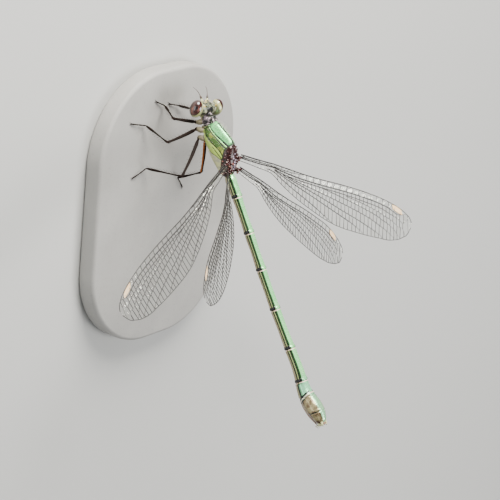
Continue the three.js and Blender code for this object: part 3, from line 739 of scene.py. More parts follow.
def polar_point(x, turn):
    """The point of the thorax at x whose direction from the section's middle is turned from the back's
    middle by that angle: the nearest of a fine row of the section's points."""
    angle = np.linspace(-np.pi, np.pi, 721)
    points = thorax_point(np.full_like(angle, x), angle)
    top, bottom = (curve(x, THORAX[:, 0], THORAX[:, k]) for k in (2, 3))
    polar = np.arctan2(points[:, 1], points[:, 2] - (top + 2 * bottom) / 3)
    return points[np.argmin(np.abs(polar - turn))]


def rotation(rng):
    """A random turn: the orthogonal factor of a matrix of normal numbers, kept right-handed."""
    turn = np.linalg.qr(rng.normal(size=(3, 3)))[0]
    return turn * np.sign(np.linalg.det(turn))


# The joints with a black patch before them and a pale ring behind, and the ends of the three rings
# after the sixth.
BANDED_JOINTS = SEGMENT_ENDS[1:7]
SEVENTH_END, EIGHTH_END, NINTH_END = SEGMENT_ENDS[6:9]
# Bands along the abdomen, in degrees round from the back's middle: where mint fades out, the dark line,
# where olive starts, the brown line, and where the flank and the belly start.
MINT_FADES, DARK_LINE, OLIVE_STARTS = (34, 42), (53, 64), (64, 67)
BROWN_LINE, FLANK_STARTS, BELLY_STARTS = (76, 91), (90, 94), (150, 156)
# On the eighth ring the bands lie lower by so many degrees, and the ring behind it is aslant by so many
# millimetres.
EIGHTH_SHIFT, SLANT = 8, 0.45


def abdomen_axis(x):
    """How high the abdomen's middle line runs, x behind the joint: it sags by a squared sine over its
    length, dips by a bell before the tail end and rises by a smooth step behind it."""
    sag = ABDOMEN_SAG * np.sin(np.pi * np.clip(x, 0, ABDOMEN_LENGTH) / ABDOMEN_LENGTH) ** 2
    dip = TAIL_DIP["depth"] * bump_at(x, TAIL_DIP["at"], TAIL_DIP["width"])
    return TAIL_RISE["height"] * soft_step(x, TAIL_RISE["start"], TAIL_RISE["end"]) - sag - dip


def abdomen_radius(x):
    """The abdomen's radius behind the joint: a smooth curve, with bells that flare it before each
    segment's end, draw it in at the joint and flare it a little behind."""
    radius = curve(x, ABDOMEN_RADII[:, 0], ABDOMEN_RADII[:, 1])
    for end in SEGMENT_ENDS[1:-1]:
        radius = radius + 0.035 * bump_at(x, end - 0.2, 0.16) - 0.05 * bump_at(x, end + 0.02, 0.06)
        radius = radius + 0.02 * bump_at(x, end + 0.2, 0.12)
    return radius


def abdomen_point(x, angle):
    """A point of the abdomen in body axes: a near circle round the middle line, a little higher than
    wide, with a shallow fold low on each flank and a raised black patch before each joint."""
    round_ = np.abs(np.degrees(angle))
    radius = abdomen_radius(x) - 0.03 * bump_at(round_, 118, 9) - 0.015 * bump_at(round_, 55, 4)
    patch = sum(stripe(x, end - 0.42, end - 0.06, 0.06) for end in BANDED_JOINTS)
    radius = radius + 0.05 * patch * stripe(round_, 42, 132, 5)
    return np.stack([-x, radius * np.sin(angle), abdomen_axis(x) + 1.03 * radius * np.cos(angle)], -1)


def abdomen_paint(x, degrees):
    """Where the abdomen is black, moss, pale and bronze: lengthwise bands by how far round, and a black
    patch and a pale ring at each joint. Moss runs from 0, mint, by half, dark green, to 1, olive. Behind
    the eighth ring x is taken along a slant, a cosine of the angle round."""
    round_ = np.abs(degrees)
    slant = x + SLANT * np.cos(np.radians(degrees)) - EIGHTH_END
    eighth = soft_step(x, SEVENTH_END + 0.05, SEVENTH_END + 0.3)
    band = round_ - EIGHTH_SHIFT * eighth
    patch = sum(stripe(x, end - 0.42, end - 0.05, 0.04) for end in BANDED_JOINTS) * stripe(round_, 40, 132, 3)
    patch = patch + 0.6 * sum(stripe(x, end - 0.1, end - 0.02, 0.02) for end in BANDED_JOINTS)
    patch = patch + stripe(slant, -0.2, 0.02, 0.03) * (round_ > 18)
    rear = 0.22 + 0.2 * soft_step(round_, 20, 110)
    patch = patch + stripe(slant, 0.22, rear, 0.03) * stripe(round_, 20, 150, 3)
    patch = patch + 0.9 * stripe(x, NINTH_END - 0.1, NINTH_END + 0.03, 0.03) * (round_ > 20)
    ring = sum(stripe(x, end, end + 0.13, 0.03) for end in BANDED_JOINTS)
    ring = ring * (1 - 0.6 * soft_step(round_, 60, 100)) + stripe(slant, 0.05, 0.2, 0.03)
    fade = 1 - soft_step(slant, -0.25, 0.15)
    lines = stripe(band, *DARK_LINE, 2) * (x < SEVENTH_END) + stripe(band, *BROWN_LINE, 2)
    dark = np.clip(lines * fade * (1 - ring) + patch, 0, 1)
    moss = 0.5 * (soft_step(band, *MINT_FADES) + soft_step(band, *OLIVE_STARTS)) * (1 - 0.7 * eighth)
    flank = soft_step(band, *FLANK_STARTS) * (1 - soft_step(round_, *BELLY_STARTS))
    pale = np.clip(0.68 * flank * fade + ring, 0, 1)
    # On the back of the last rings the bronze is only partly laid, so the bluish mint shows there, partly as
    # painted reflection.
    bronze = soft_step(slant, 0, 0.1) * (0.46 + 0.54 * soft_step(round_, 24, 36))
    bronze = np.clip(bronze + soft_step(round_, 152, 158), 0, 1) * (1 - ring)
    return np.stack([dark, moss * fade, pale, bronze * (1 - patch)], -1)


# Where the last rings turn bluish, partly their own colour and partly a painted cyan reflection: the
# imported frame's x where it starts and where it is full.
CYAN_REFLECTION_SPAN = [float(x) for x in body_to_row([(-25.8, 0, 0), (-27.4, 0, 0)])[:, 0]]


def abdomen_cuticle(body):
    """The abdomen's finish: mint metal above, dark green and olive lines, pale flanks, black patches, pale
    rings, and a bronze tail end with a bluish tint before it, partly a painted reflection."""
    graph = Graph("abdomen cuticle")
    dark, moss, pale, bronze = graph.paint()
    cloud = graph.fit(graph.noise(0.8, 4), 0.3, 0.7)
    mint = graph.mix(cloud, TINTS["abdomen glow"], TINTS["abdomen mint"])
    behind = graph.add("ShaderNodeSeparateXYZ", {0: graph.millimetres()}).outputs[0]
    # The last rings turn sea green: partly their own colour, partly a painted cyan reflection.
    cyan_reflection = graph.fit(behind, *CYAN_REFLECTION_SPAN)
    mint = graph.mix(graph.math("MULTIPLY", cyan_reflection, 0.7), mint, TINTS["sea green"])
    green = graph.mix(graph.fit(moss, 0.1, 0.45), mint, rgb(body.moss))
    shade = graph.mix(graph.fit(moss, 0.7, 0.95), green, TINTS["olive line"])
    brown = graph.mix(graph.fit(graph.noise(1.5, 4), 0.4, 0.6), rgb(body.bronze), TINTS["tail khaki"])
    on_tail = graph.fit(bronze, 0.35, 0.65)
    shade = graph.mix(on_tail, shade, brown)
    patchy = graph.fit(graph.noise(1.1, 3), 0.4, 0.6)
    flank = graph.mix(patchy, TINTS["flank brown"], TINTS["flank khaki"])
    blush = graph.mix(graph.fit(pale, 0.74, 0.95), flank, rgb(body.ring))
    on_pale = graph.fit(pale, 0.35, 0.65)
    shade = graph.mix(on_pale, shade, blush)
    on_dark = graph.fit(dark, 0.3, 0.62)
    shade = graph.mix(on_dark, shade, rgb(body.seam))
    metal = graph.blend(on_pale, graph.blend(on_tail, 0.5, 0.45), 0.04)
    rough = graph.blend(on_pale, graph.fit(graph.noise(5, 3), 0.3, 0.7, 0.18, 0.34), 0.48)
    pits = graph.bump(graph.noise(10, 2), 0.012, 0.5)
    return graph.surface({"Base Color": shade, "Metallic": graph.blend(on_dark, metal, 0.15),
                          "Roughness": rough, "Normal": graph.bump(graph.noise(2.4, 3), 0.04, 0.35, pits),
                          "Coat Weight": 0.1, "Coat Roughness": 0.2})


class DAMSEL_OT_abdomen(bpy.types.Operator):
    """Lays the ten-segment abdomen skin with its bands and joint rings"""

    bl_idname = "damsel.abdomen"
    bl_label = "Abdomen"

    def execute(self, context):
        body = context.scene.damsel_body
        rows, columns = 1000, 96
        x = np.linspace(ABDOMEN_RADII[0, 0], ABDOMEN_RADII[-1, 0], rows)
        angle = circle_angles(columns) - np.pi
        x, angle = np.meshgrid(x, angle, indexing="ij")
        shell = Shell()
        add_rings(shell, body_to_row(abdomen_point(x, angle)), abdomen_paint(x, np.degrees(angle)))
        nodes = [f"abdomen_{k + 1}" for k in range(10)]
        shell.make("abdomen_skin", abdomen_cuticle(body), "green_cuticle", nodes)
        return {"FINISHED"}


class DAMSEL_OT_tail(bpy.types.Operator):
    """Sets the egg-laying blade with its saw edge, the two styli, the cerci and the last small plates"""

    bl_idname = "damsel.tail"
    bl_label = "Tail end"

    def execute(self, context):
        body = context.scene.damsel_body
        shell = Shell()
        share = np.linspace(0, 1, 40)
        angle = circle_angles(20)
        for side in (-1, 1):
            x = 29.35 + 3.7 * share
            belly = 0.34 * np.sin(np.pi * np.clip(share * 0.95, 0, 1))
            low = abdomen_axis(x) - 1.28 - belly + 0.62 * share**2
            half = 0.02 + 0.17 * np.sin(np.pi * share**0.8) ** 0.6
            deep = 0.05 + 0.36 * np.sin(np.pi * share**0.7) ** 0.7
            tooth = 0.03 * np.abs(np.sin(22 * np.pi * share)) * soft_step(share, 0.5, 0.6)
            y = side * 0.15 + half[:, None] * np.cos(angle)
            reach = deep[:, None] / 2 + tooth[:, None] * (np.sin(angle) < -0.6)
            z = (low + deep / 2)[:, None] + reach * np.sin(angle)
            points = joined(-x[:, None], y, z)
            edge = (np.sin(angle) < -0.55) * np.ones_like(share)[:, None]
            dark = (np.sin(angle) > 0.6) * np.ones_like(share)[:, None]
            paint = np.stack([0.9 * dark, 0 * dark, 0.9 * edge, 1 - dark], -1)
            add_rings(shell, body_to_row(points), paint)
            end = abdomen_axis(32.8)
            stylus = np.stack([-33.0 - 0.42 * share, side * 0.16 + 0 * share, end - 0.98 + 0.26 * share], -1)
            add_rings(shell, body_to_row(tube_rings(stylus, 0.07 - 0.045 * share, 12)),
                      np.broadcast_to(PALE, (40, 12, 4)))
            cercus = np.stack([-32.7 - 0.62 * share, side * (0.36 + 0.03 * np.sin(np.pi * share)),
                               end + 0.34 - 0.02 * share], -1)
            thick = 0.13 * (1 - share**2.2) + 0.02
            tip = np.broadcast_to(soft_step(share, 0.75, 0.9)[:, None], (40, 16))
            paint = np.stack([0.8 * tip, 0 * tip, 1 - tip, 0 * tip], -1)
            add_rings(shell, body_to_row(tube_rings(cercus, thick, 16)), paint)
            add_blob(shell, (-32.95, side * 0.24, end - 0.16), (0.3, 0.2, 0.3), PALE)
        add_blob(shell, (-32.95, 0, end + 0.36), (0.26, 0.2, 0.14), BROWN)
        skin = cuticle("tail cuticle", rgb(body.bronze), rgb(body.bronze, 0.6), [
            (rgb(body.seam), 0.1, 0.3), (rgb(body.moss), 0.6, 0.3), (rgb(body.cream), 0.05, 0.4),
            (TINTS["blade brown"], 0.2, 0.35)], 0.3, 0.32)
        shell.make("tail_end", skin, "bronze_cuticle", ["ovipositor", "cercus_left", "cercus_right"])
        return {"FINISHED"}


class DAMSEL_OT_prothorax(bpy.types.Operator):
    """Lays the neck and the three lobes of the prothorax"""

    bl_idname = "damsel.prothorax"
    bl_label = "Prothorax"

    def execute(self, context):
        body = context.scene.damsel_body
        shell = Shell()
        share = np.linspace(0, 1, 90)
        columns = 64
        angle = circle_angles(columns) - np.pi
        x = 6.7 + 1.75 * share
        half = curve(share, [0, 0.12, 0.3, 0.5, 0.7, 0.85, 1], [0.5, 0.78, 0.7, 0.84, 0.66, 0.42, 0.36])
        top = curve(share, [0, 0.12, 0.3, 0.5, 0.7, 0.85, 1], [0.6, 0.92, 0.78, 0.98, 0.72, 0.5, 0.46])
        low = curve(share, [0, 0.2, 0.5, 0.75, 1], [-0.7, -0.9, -0.94, -0.7, -0.3])
        middle = ((top + low) / 2)[:, None]
        lobe = 1 + 0.06 * np.cos(3 * angle) * np.sin(np.pi * share)[:, None]
        y = half[:, None] * power(np.sin(angle), 0.9) * lobe
        z = middle + (top - low)[:, None] / 2 * np.cos(angle) * lobe
        points = joined(x[:, None], y, z)
        round_ = np.abs(np.degrees(angle))[None]
        on_x = x[:, None]
        dark = stripe(on_x, 7.13, 7.2, 0.03) + stripe(on_x, 7.5, 7.56, 0.03) + stripe(round_, 46, 62, 4) * 0.8
        pale = stripe(round_, 62, 118, 5) + soft_step(round_, 125, 135) + soft_step(on_x, 7.95, 8.05)
        paint = joined(np.clip(dark, 0, 1), 0.0, np.clip(pale, 0, 1), 0.0)
        add_rings(shell, body_to_row(points), paint)
        for side in (-1, 1):
            add_blob(shell, (7.45, side * 0.62, 0.42), (0.3, 0.2, 0.3), (0, 0, 0.9, 0), 12, 20)
            add_blob(shell, (7.2, side * 0.3, 0.86), (0.16, 0.24, 0.12), BARE, 12, 20)
        specks = TINTS["prothorax black"], TINTS["prothorax pink"]
        skin = cuticle("prothorax cuticle", TINTS["prothorax grey"], TINTS["prothorax dark"], [
            (rgb(body.seam), 0.2, 0.3), (rgb(body.moss), 0.6, 0.3), (TINTS["prothorax mauve"], 0.05, 0.45),
            (rgb(body.hinge), 0.1, 0.35)], 0.2, 0.36, 12, specks, coat=0.1)
        shell.make("prothorax_skin", skin, "bronze_cuticle", ["prothorax"])
        return {"FINISHED"}


def head_place(points):
    """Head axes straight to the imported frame."""
    return body_to_row(head_to_body(points))


def head_point(y, angle):
    """The head between the eyes in head axes: at each width a rounded square about x and z, swollen
    to a nose low in front and hollowed behind."""
    ahead, up = power(np.cos(angle), 0.86), power(np.sin(angle), 0.86)
    narrow = 1 - 0.16 * (y / 1.05) ** 2
    nose = 0.3 * np.exp(-((y / 0.5) ** 2) - ((up + 0.4) / 0.36) ** 2)
    brow = 0.1 * np.exp(-((y / 0.8) ** 2) - ((up - 0.35) / 0.3) ** 2)
    x = np.where(ahead > 0, ahead * (0.8 * narrow + nose + brow), ahead * 0.62 * narrow)
    vertex = 0.06 * np.cos(2 * np.pi * y / 1.1) * np.clip(up, 0, 1)
    z = up * narrow * np.where(up > 0, 0.9, 0.8) + vertex
    return joined(x, y, z)


# The three small eyes on top, in head axes.
OCELLI = ((0.56, 0, 0.78), (0.36, 0.26, 0.92), (0.36, -0.26, 0.92))


class DAMSEL_OT_head(bpy.types.Operator):
    """Lays the head's skin, with its ocelli, nose, lip and jaws"""

    bl_idname = "damsel.head"
    bl_label = "Head"

    def execute(self, context):
        body, look = context.scene.damsel_body, context.scene.damsel_head
        shell = Shell()
        y = 1.32 * np.sin(np.linspace(-np.pi / 2, np.pi / 2, 120))[:, None]
        angle = circle_angles(120)[None]
        degrees = (np.degrees(angle) + 180) % 360 - 180
        across = np.abs(y)
        cheeks = bump_at(y, 0.62, 0.1) + bump_at(y, -0.62, 0.1)
        dark = stripe(degrees, 52, 58, 2) * (across < 0.9) + cheeks * stripe(degrees, 92, 140, 6)
        dark = dark + stripe(degrees, -22, -12, 3)
        dark = dark + 0.9 * stripe(np.abs(degrees), 150, 180, 6) * (across < 0.5)
        patch = stripe(degrees, 66, 88, 5) * bump_at(across, 0.36, 0.14)
        patch = patch + stripe(degrees, -50, -24, 5) * (across < 0.7)
        patch = patch + stripe(degrees, 120, 146, 6) * (across > 0.75)
        paint = joined(np.clip(dark, 0, 1), 0.0, np.clip(patch, 0, 1), 0.0)
        add_rings(shell, head_place(head_point(y, angle)), paint)
        for centre in OCELLI:
            rim = np.subtract(centre, (0, 0, 0.03))
            add_blob(shell, centre, (0.13, 0.13, 0.1), PALE, 14, 20, place=head_place)
            add_blob(shell, rim, (0.18, 0.18, 0.08), SEAM, 12, 20, place=head_place)
        for side in (-1, 1):
            add_blob(shell, (-0.3, side * 0.5, 0.62), (0.34, 0.44, 0.26), BARE, 16, 24, place=head_place)
        specks = TINTS["face black"], TINTS["face cream"]
        skin = cuticle("head cuticle", rgb(look.face), TINTS["face olive"], [
            (rgb(body.seam), 0.2, 0.3), (rgb(body.moss), 0.5, 0.3), (rgb(look.patch), 0.05, 0.4),
            (rgb(body.hinge), 0.05, 0.35)], 0.2, 0.34, 14, specks, coat=0.1)
        shell.make("head_skin", skin, "green_cuticle", ["head"])
        self.mouth(body)
        return {"FINISHED"}

    def mouth(self, body):
        """Sets the lips and the chin, and on each side a jaw and a feeler."""
        mouth = Shell()
        for centre, radii, pale in (
            ((0.62, 0, -0.74), (0.26, 0.52, 0.2), 1),
            ((0.5, 0, -0.96), (0.3, 0.46, 0.2), 0.85),
            ((0.1, 0, -1.06), (0.42, 0.34, 0.24), 1),
        ):
            add_blob(mouth, centre, radii, (0, 0, pale, 0), 24, 36, place=head_place)
        for side in (-1, 1):
            jaw, feeler = (0.42, side * 0.42, -0.9), (0.16, side * 0.34, -1.16)
            add_blob(mouth, jaw, (0.2, 0.16, 0.3), (0.6, 0, 0, 0), 16, 24, place=head_place)
            add_blob(mouth, feeler, (0.28, 0.14, 0.18), PALE, 16, 24, place=head_place)
        lips = cuticle("mouth cuticle", TINTS["lip green"], TINTS["lip dark"], [
            (rgb(body.seam), 0.1, 0.3), (rgb(body.moss), 0.4, 0.3), (rgb(body.cream), 0.02, 0.42),
            (rgb(body.hinge), 0.05, 0.35)], 0.1, 0.36, 14)
        mouth.make("mouth_parts", lips, "pale_cuticle", ["mouth"])


class DAMSEL_OT_eyes(bpy.types.Operator):
    """Sets the two large eyes, mahogany outside, pale green inside and behind"""

    bl_idname = "damsel.eyes"
    bl_label = "Eyes"

    def execute(self, context):
        look = context.scene.damsel_head
        graph = Graph("eye")
        cap, spot, pale, reflection_band = graph.paint()
        patchy = graph.fit(graph.noise(2.2, 4), 0.35, 0.65)
        green = graph.mix(patchy, rgb(look.eye_pale), TINTS["eye olive"])
        cloudy = graph.fit(graph.noise(1.1, 3), 0.5, 0.64, 0, 0.75)
        green = graph.mix(cloudy, green, TINTS["eye cloud"])
        shade = graph.mix(graph.fit(pale, 0, 1), green, TINTS["eye rim"])
        brown = graph.mix(graph.fit(graph.noise(2.5), 0.3, 0.7), rgb(look.eye_dark), TINTS["eye brown"])
        # A pinkish band lightens the mahogany: a painted reflection.
        brown = graph.mix(graph.fit(reflection_band, 0, 1, 0, 0.8), brown, TINTS["eye streak"])
        shade = graph.mix(cap, shade, brown)
        # The pseudopupil, the black spot at the eye's middle, is painted shade fixed on the eye.
        shade = graph.mix(spot, shade, TINTS["painted_pupil_shade"])
        facets = graph.bump(graph.cells(look.facets / 2.2), 0.01, 0.3)
        material = graph.surface({"Base Color": shade, "Roughness": 0.16, "Normal": facets,
                                  "Coat Weight": 1.0, "Coat Roughness": 0.05, "Subsurface Weight": 0.15,
                                  "Subsurface Scale": 0.0003, "Subsurface Radius": (1.0, 0.5, 0.3)})
        for name, side in (("left", 1), ("right", -1)):
            shell = Shell()
            out = ball_points(90, 120)[..., [0, 2, 1]] * (1, side, 1)
            centre = EYE_CENTRE * (1, side, 1)
            points = centre + out * EYE_SEMI
            facing = unit(head_to_body(points) - head_to_body(centre))

            def turned(direction):
                """Degrees between each point's direction from the eye's middle and a direction."""
                cosine = facing @ unit(direction * np.array([1, side, 1]))
                return np.degrees(np.arccos(np.clip(cosine, -1, 1)))

            cap = turned((0.3, 0.9, 0.34))
            # Where the painted pseudopupil shade and the painted reflection band sit on each eye.
            spot = turned((0.05, 0.74, 0.62))
            reflection_band = turned((-0.35, 0.72, 0.3)) / 1.1
            paint = np.stack([1 - soft_step(cap, 70, 76), 0.97 * (1 - soft_step(spot, 13, 22)),
                              soft_step(cap, 74, 79) * (1 - soft_step(cap, 92, 112)),
                              bump_at(reflection_band, 30, 11) * (1 - soft_step(cap, 55, 70))], -1)
            add_rings(shell, head_place(points), paint)
            shell.make(f"eye_skin_{name}", material, "eye", [f"eye_{name}"])
        return {"FINISHED"}


class DAMSEL_OT_antennae(bpy.types.Operator):
    """Sets the antennae: two short thick joints and a tapering whip"""

    bl_idname = "damsel.antennae"
    bl_label = "Antennae"

    def execute(self, context):
        body, look = context.scene.damsel_body, context.scene.damsel_head
        material = cuticle("antenna cuticle", TINTS["antenna dark"], TINTS["antenna brown"], [
            (rgb(body.cream), 0.05, 0.4)], 0.1, 0.35, 16)
        for name, side in (("left", 1), ("right", -1)):
            shell = Shell()
            share = np.linspace(0, 1, 90)
            bow = 0.3 * np.sin(np.pi * share)
            path = np.stack([0.6 + 1.62 * share, side * (0.42 + 0.75 * share), 0.58 + 1.35 * share + bow], -1)
            thick = curve(share, [0, 0.1, 0.14, 0.19, 0.27, 0.33, 0.37, 0.6, 1],
                          [0.14, 0.15, 0.1, 0.11, 0.12, 0.07, 0.055, 0.045, 0.02]) * (look.antenna / 0.055)
            pale = np.broadcast_to((1 - soft_step(share, 0.15, 0.2))[:, None, None], (90, 16, 1))
            paint = np.concatenate([0.8 * pale, 0 * pale, 0 * pale, 0 * pale], -1)
            add_rings(shell, head_place(tube_rings(path, thick, 16)), paint)
            shell.make(f"antenna_skin_{name}", material, "leg", [f"antenna_{name}"])
        return {"FINISHED"}


def wing_edges(pair, share):
    """The leading edge ahead of the wing's axis and the trailing edge behind it, in millimetres."""
    outline = WING_OUTLINE[pair]
    length = WING_LENGTH[pair]
    ahead, behind = (length * curve(share, outline[:, 0], outline[:, k]) for k in (1, 2))
    return ahead, behind


# The pleats at a wing's root: their height in millimetres, and their pitch and fading per chord.
PLEAT_HEIGHT, PLEAT_PITCH, PLEAT_FADE = 0.13, 0.27, 2.2
# The hollow across a wing's chord: four times its depth at the middle, in millimetres.
HOLLOW = 0.3


def wing_pleat(share, chord):
    """How far the wing rises out of its plane: pleats that fade towards the tip and the rear edge, and
    a shallow hollow across the chord."""
    wave = np.cos(2 * np.pi * chord / PLEAT_PITCH) * np.exp(-PLEAT_FADE * chord)
    pleat = PLEAT_HEIGHT * wave * (1 - 0.8 * share)
    return pleat - HOLLOW * chord * (1 - chord) * soft_step(share, 0.15, 0.4)


def wing_point(name, share, chord, lift=0.0):
    """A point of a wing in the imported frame: share of the length along an arc, share of the chord behind
    the leading edge, and a lift off the pleated surface."""
    pose, pair = WINGS[name], name.split("_")[0]
    side, length = pose["side"], WING_LENGTH[pair]
    back, up, roll, curl = (radians(pose[key]) for key in ("sweep", "lift", "twist", "bend"))
    out = np.array([-sin(back) * cos(up), side * cos(back) * cos(up), sin(up)])
    level = np.array([cos(back), side * sin(back), 0])
    over = -side * np.cross(out, level)
    lead = cos(roll) * level + sin(roll) * over
    face = -side * np.cross(out, lead)
    ahead, behind = wing_edges(pair, share)
    y = ahead - (ahead + behind) * chord
    turn = curl * share
    height = wing_pleat(share, chord) + lift
    x = length * np.sin(turn) / curl - height * np.sin(turn)
    z = length * (1 - np.cos(turn)) / curl + height * np.cos(turn)
    root = np.array(pose["root"]) * (1, side, 1)
    x, y, z = (value[..., None] for value in np.broadcast_arrays(x, y, z))
    return body_to_row(root + x * out + y * lead + z * face)


# Lengthwise veins: the thickness as a share of the main vein's, and the share of the length and of the
# chord at each knot. The first starts at the leading edge and the last runs along the trailing edge.
VEINS = {
    "subcosta": (0.8, [(0, 0.3), (0.12, 0.22), (0.25, 0.12), (NODUS, 0.0)]),
    "radius": (1.25, [(0, 0.5), (0.1, 0.42), (0.19, 0.3), (0.28, 0.22), (NODUS, 0.165), (0.5, 0.135),
                      (0.7, 0.125), (0.85, 0.14), (0.93, 0.165), (0.965, 0.0)]),
    "second radial": (0.9, [(0.19, 0.42), (0.28, 0.33), (NODUS, 0.25), (0.5, 0.21), (0.7, 0.22),
                            (0.85, 0.27), (0.95, 0.42), (0.985, 0.62), (0.99, 1.0)]),
    "first between": (0.7, [(0.6, 0.23), (0.7, 0.28), (0.82, 0.37), (0.92, 0.55), (0.97, 0.86),
                            (0.975, 1.0)]),
    "third radial": (0.85, [(0.46, 0.225), (0.56, 0.28), (0.7, 0.37), (0.82, 0.5), (0.92, 0.76),
                            (0.95, 1.0)]),
    "second between": (0.85, [(0.27, 0.36), (NODUS, 0.35), (0.5, 0.38), (0.66, 0.48), (0.8, 0.64),
                              (0.9, 0.88), (0.925, 1.0)]),
    "fourth radial": (0.9, [(0.24, 0.42), (0.32, 0.42), (0.45, 0.48), (0.6, 0.6), (0.74, 0.76),
                            (0.83, 0.92), (0.86, 1.0)]),
    "media": (0.95, [(0.19, 0.5), (0.25, 0.52), (0.35, 0.55), (0.48, 0.63), (0.6, 0.74), (0.7, 0.9),
                     (0.74, 1.0)]),
    "cubitus": (0.95, [(0.15, 0.72), (0.2, 0.68), (0.26, 0.72), (0.36, 0.78), (0.46, 0.87),
                       (0.56, 1.0)]),
}
# How far apart two veins lie, in cells, before another starts between them.
NEW_VEIN_GAP = 1.35
# Short cross veins near a wing's root: share of the length, and of the chord at the two ends.
ROOT_CROSS_VEINS = ((0.1, 0, 0.42), (0.19, 0, 0.3), (0.19, 0.3, 0.68), (0.15, 0.42, 0.9),
                    (0.262, 0.52, 0.72))
COLUMNS = np.linspace(0, 1, 500)


def mid_vein(upper, lower, start):
    """A vein half way between two others from start on, turned down to the rear edge between the
    places where they reach it."""
    ended = COLUMNS[np.argmax(lower >= 0.999)]
    last = COLUMNS[np.argmax(upper >= 0.999)] if (upper >= 0.999).any() else 1.0
    middle = ended + 0.5 * (last - ended)
    lean = 0.5 + 0.5 * soft_step(COLUMNS, ended - 0.06, middle)
    vein = upper + (lower - upper) * lean
    vein[COLUMNS < start] = np.nan
    return vein


def wing_veins(pair, gap):
    """The lengthwise veins in order from the front, each a row of chord shares over the columns: the
    main ones, and between any two that part by more than the gap another that starts there."""
    ahead, behind = wing_edges(pair, COLUMNS)
    chord = ahead + behind
    rows, weights = [np.zeros_like(COLUMNS)], [0.0]
    for weight, knots in VEINS.values():
        t, c = np.array(knots).T
        row = curve(COLUMNS, t, c)
        row[COLUMNS < t[0]] = np.nan
        row[COLUMNS > t[-1]] = c[-1]
        rows.append(np.clip(row, 0, 1))
        weights.append(weight)
    rows.append(np.ones_like(COLUMNS))
    weights.append(0.0)
    for _ in range(2):
        at = 0
        while at + 1 < len(rows):
            upper, lower = rows[at], rows[at + 1]
            wide = (lower - upper) * chord > gap
            wide &= (COLUMNS > 0.42) & (COLUMNS < 0.93) & (upper < 0.98) & (at > 1)
            if wide.sum() > 40:
                start = COLUMNS[np.argmax(wide)]
                rows.insert(at + 1, mid_vein(np.nan_to_num(upper), np.nan_to_num(lower, nan=1.0), start))
                weights.insert(at + 1, 0.45)
                at += 1
            at += 1
    return np.array(rows), np.array(weights)


def cell_phase(pair, row, share, pitch):
    """How many cells of the row lie between the root and a share of the length, unevenly spaced."""
    length = WING_LENGTH[pair]
    spread = np.where(row <= 1, 0.6, 1.0)
    return share * length / pitch * spread + scatter(row, 3) + 0.22 * np.sin(9 * share + 5 * scatter(row, 8))


def next_vein(rows, at, row):
    """Below a vein, the chord share of the next one that has started, at the given columns."""
    below = np.stack([np.interp(at, COLUMNS, np.nan_to_num(r, nan=9.0)) for r in rows[row + 1:]])
    here = np.interp(at, COLUMNS, np.nan_to_num(rows[row], nan=9.0))
    below = np.where(below > 1.001, 1.0, below)
    return np.where(below >= here, below, 1.0).min(0)


def add_wing_net(shell, name, look):
    """Adds the veins: tubes along the lengthwise ones and the edges, and a strut for each cross vein."""
    pair = name.split("_")[0]
    rows, weights = wing_veins(pair, NEW_VEIN_GAP * look.cell)
    ahead, behind = wing_edges(pair, COLUMNS)
    chord = ahead + behind
    fade = 1 - 0.35 * COLUMNS
    for row, weight in zip(rows[1:-1], weights[1:-1]):
        live = ~np.isnan(row) & (row < 0.999) & ((row > 0.001) | (COLUMNS < 0.3))
        t = COLUMNS[live]
        c = row[live]
        thin = np.minimum(1, 0.35 + 6 * (t[-1] - t)) if len(t) else 1
        path = wing_point(name, t[::3], c[::3])
        thick = look.main * weight * (fade[live] * thin)[::3]
        if len(path) > 3:
            add_rings(shell, tube_rings(path, thick, 6))
    rim = np.linspace(0, 1, 260) ** 0.8
    for edge, thick in ((0, look.edge), (1, 0.62 * look.main)):
        path = wing_point(name, rim, np.full_like(rim, edge))
        taper = 1 - 0.55 * rim if edge == 0 else np.ones_like(rim)
        add_rings(shell, tube_rings(path, thick * taper, 8))
    starts, ends = [], []
    for row in range(len(rows) - 1):
        own = rows[row]
        live = ~np.isnan(own) & (own < 0.97)
        if not live.any():
            continue
        first, last = COLUMNS[live][[0, -1]]
        phase = cell_phase(pair, row, COLUMNS, look.cell)
        low, high = np.interp([first, last], COLUMNS, phase)
        at = np.interp(np.arange(np.ceil(low), np.floor(high) + 1), phase, COLUMNS)
        at = at[(at > 0.2) & (at < 0.985)]
        if not len(at):
            continue
        c0 = np.interp(at, COLUMNS, np.nan_to_num(own, nan=1.0))
        lean = 0.1 * (scatter(at * 91, row) - 0.5)
        c1 = next_vein(rows, at, row)
        reach = (c1 - c0) * np.interp(at, COLUMNS, chord)
        keep = (reach > 0.12) & (reach < 1.9)
        on = at + (0.16 + lean) * reach / WING_LENGTH[pair]
        starts.append(wing_point(name, at, c0)[keep])
        ends.append(wing_point(name, np.minimum(on, 0.995), next_vein(rows, on, row))[keep])
    at, top, bottom = np.array(ROOT_CROSS_VEINS).T
    starts.append(wing_point(name, at, top))
    ends.append(wing_point(name, at + 0.006, bottom))
    starts, ends = np.concatenate(starts), np.concatenate(ends)
    add_struts(shell, starts, ends, look.cross, 4)


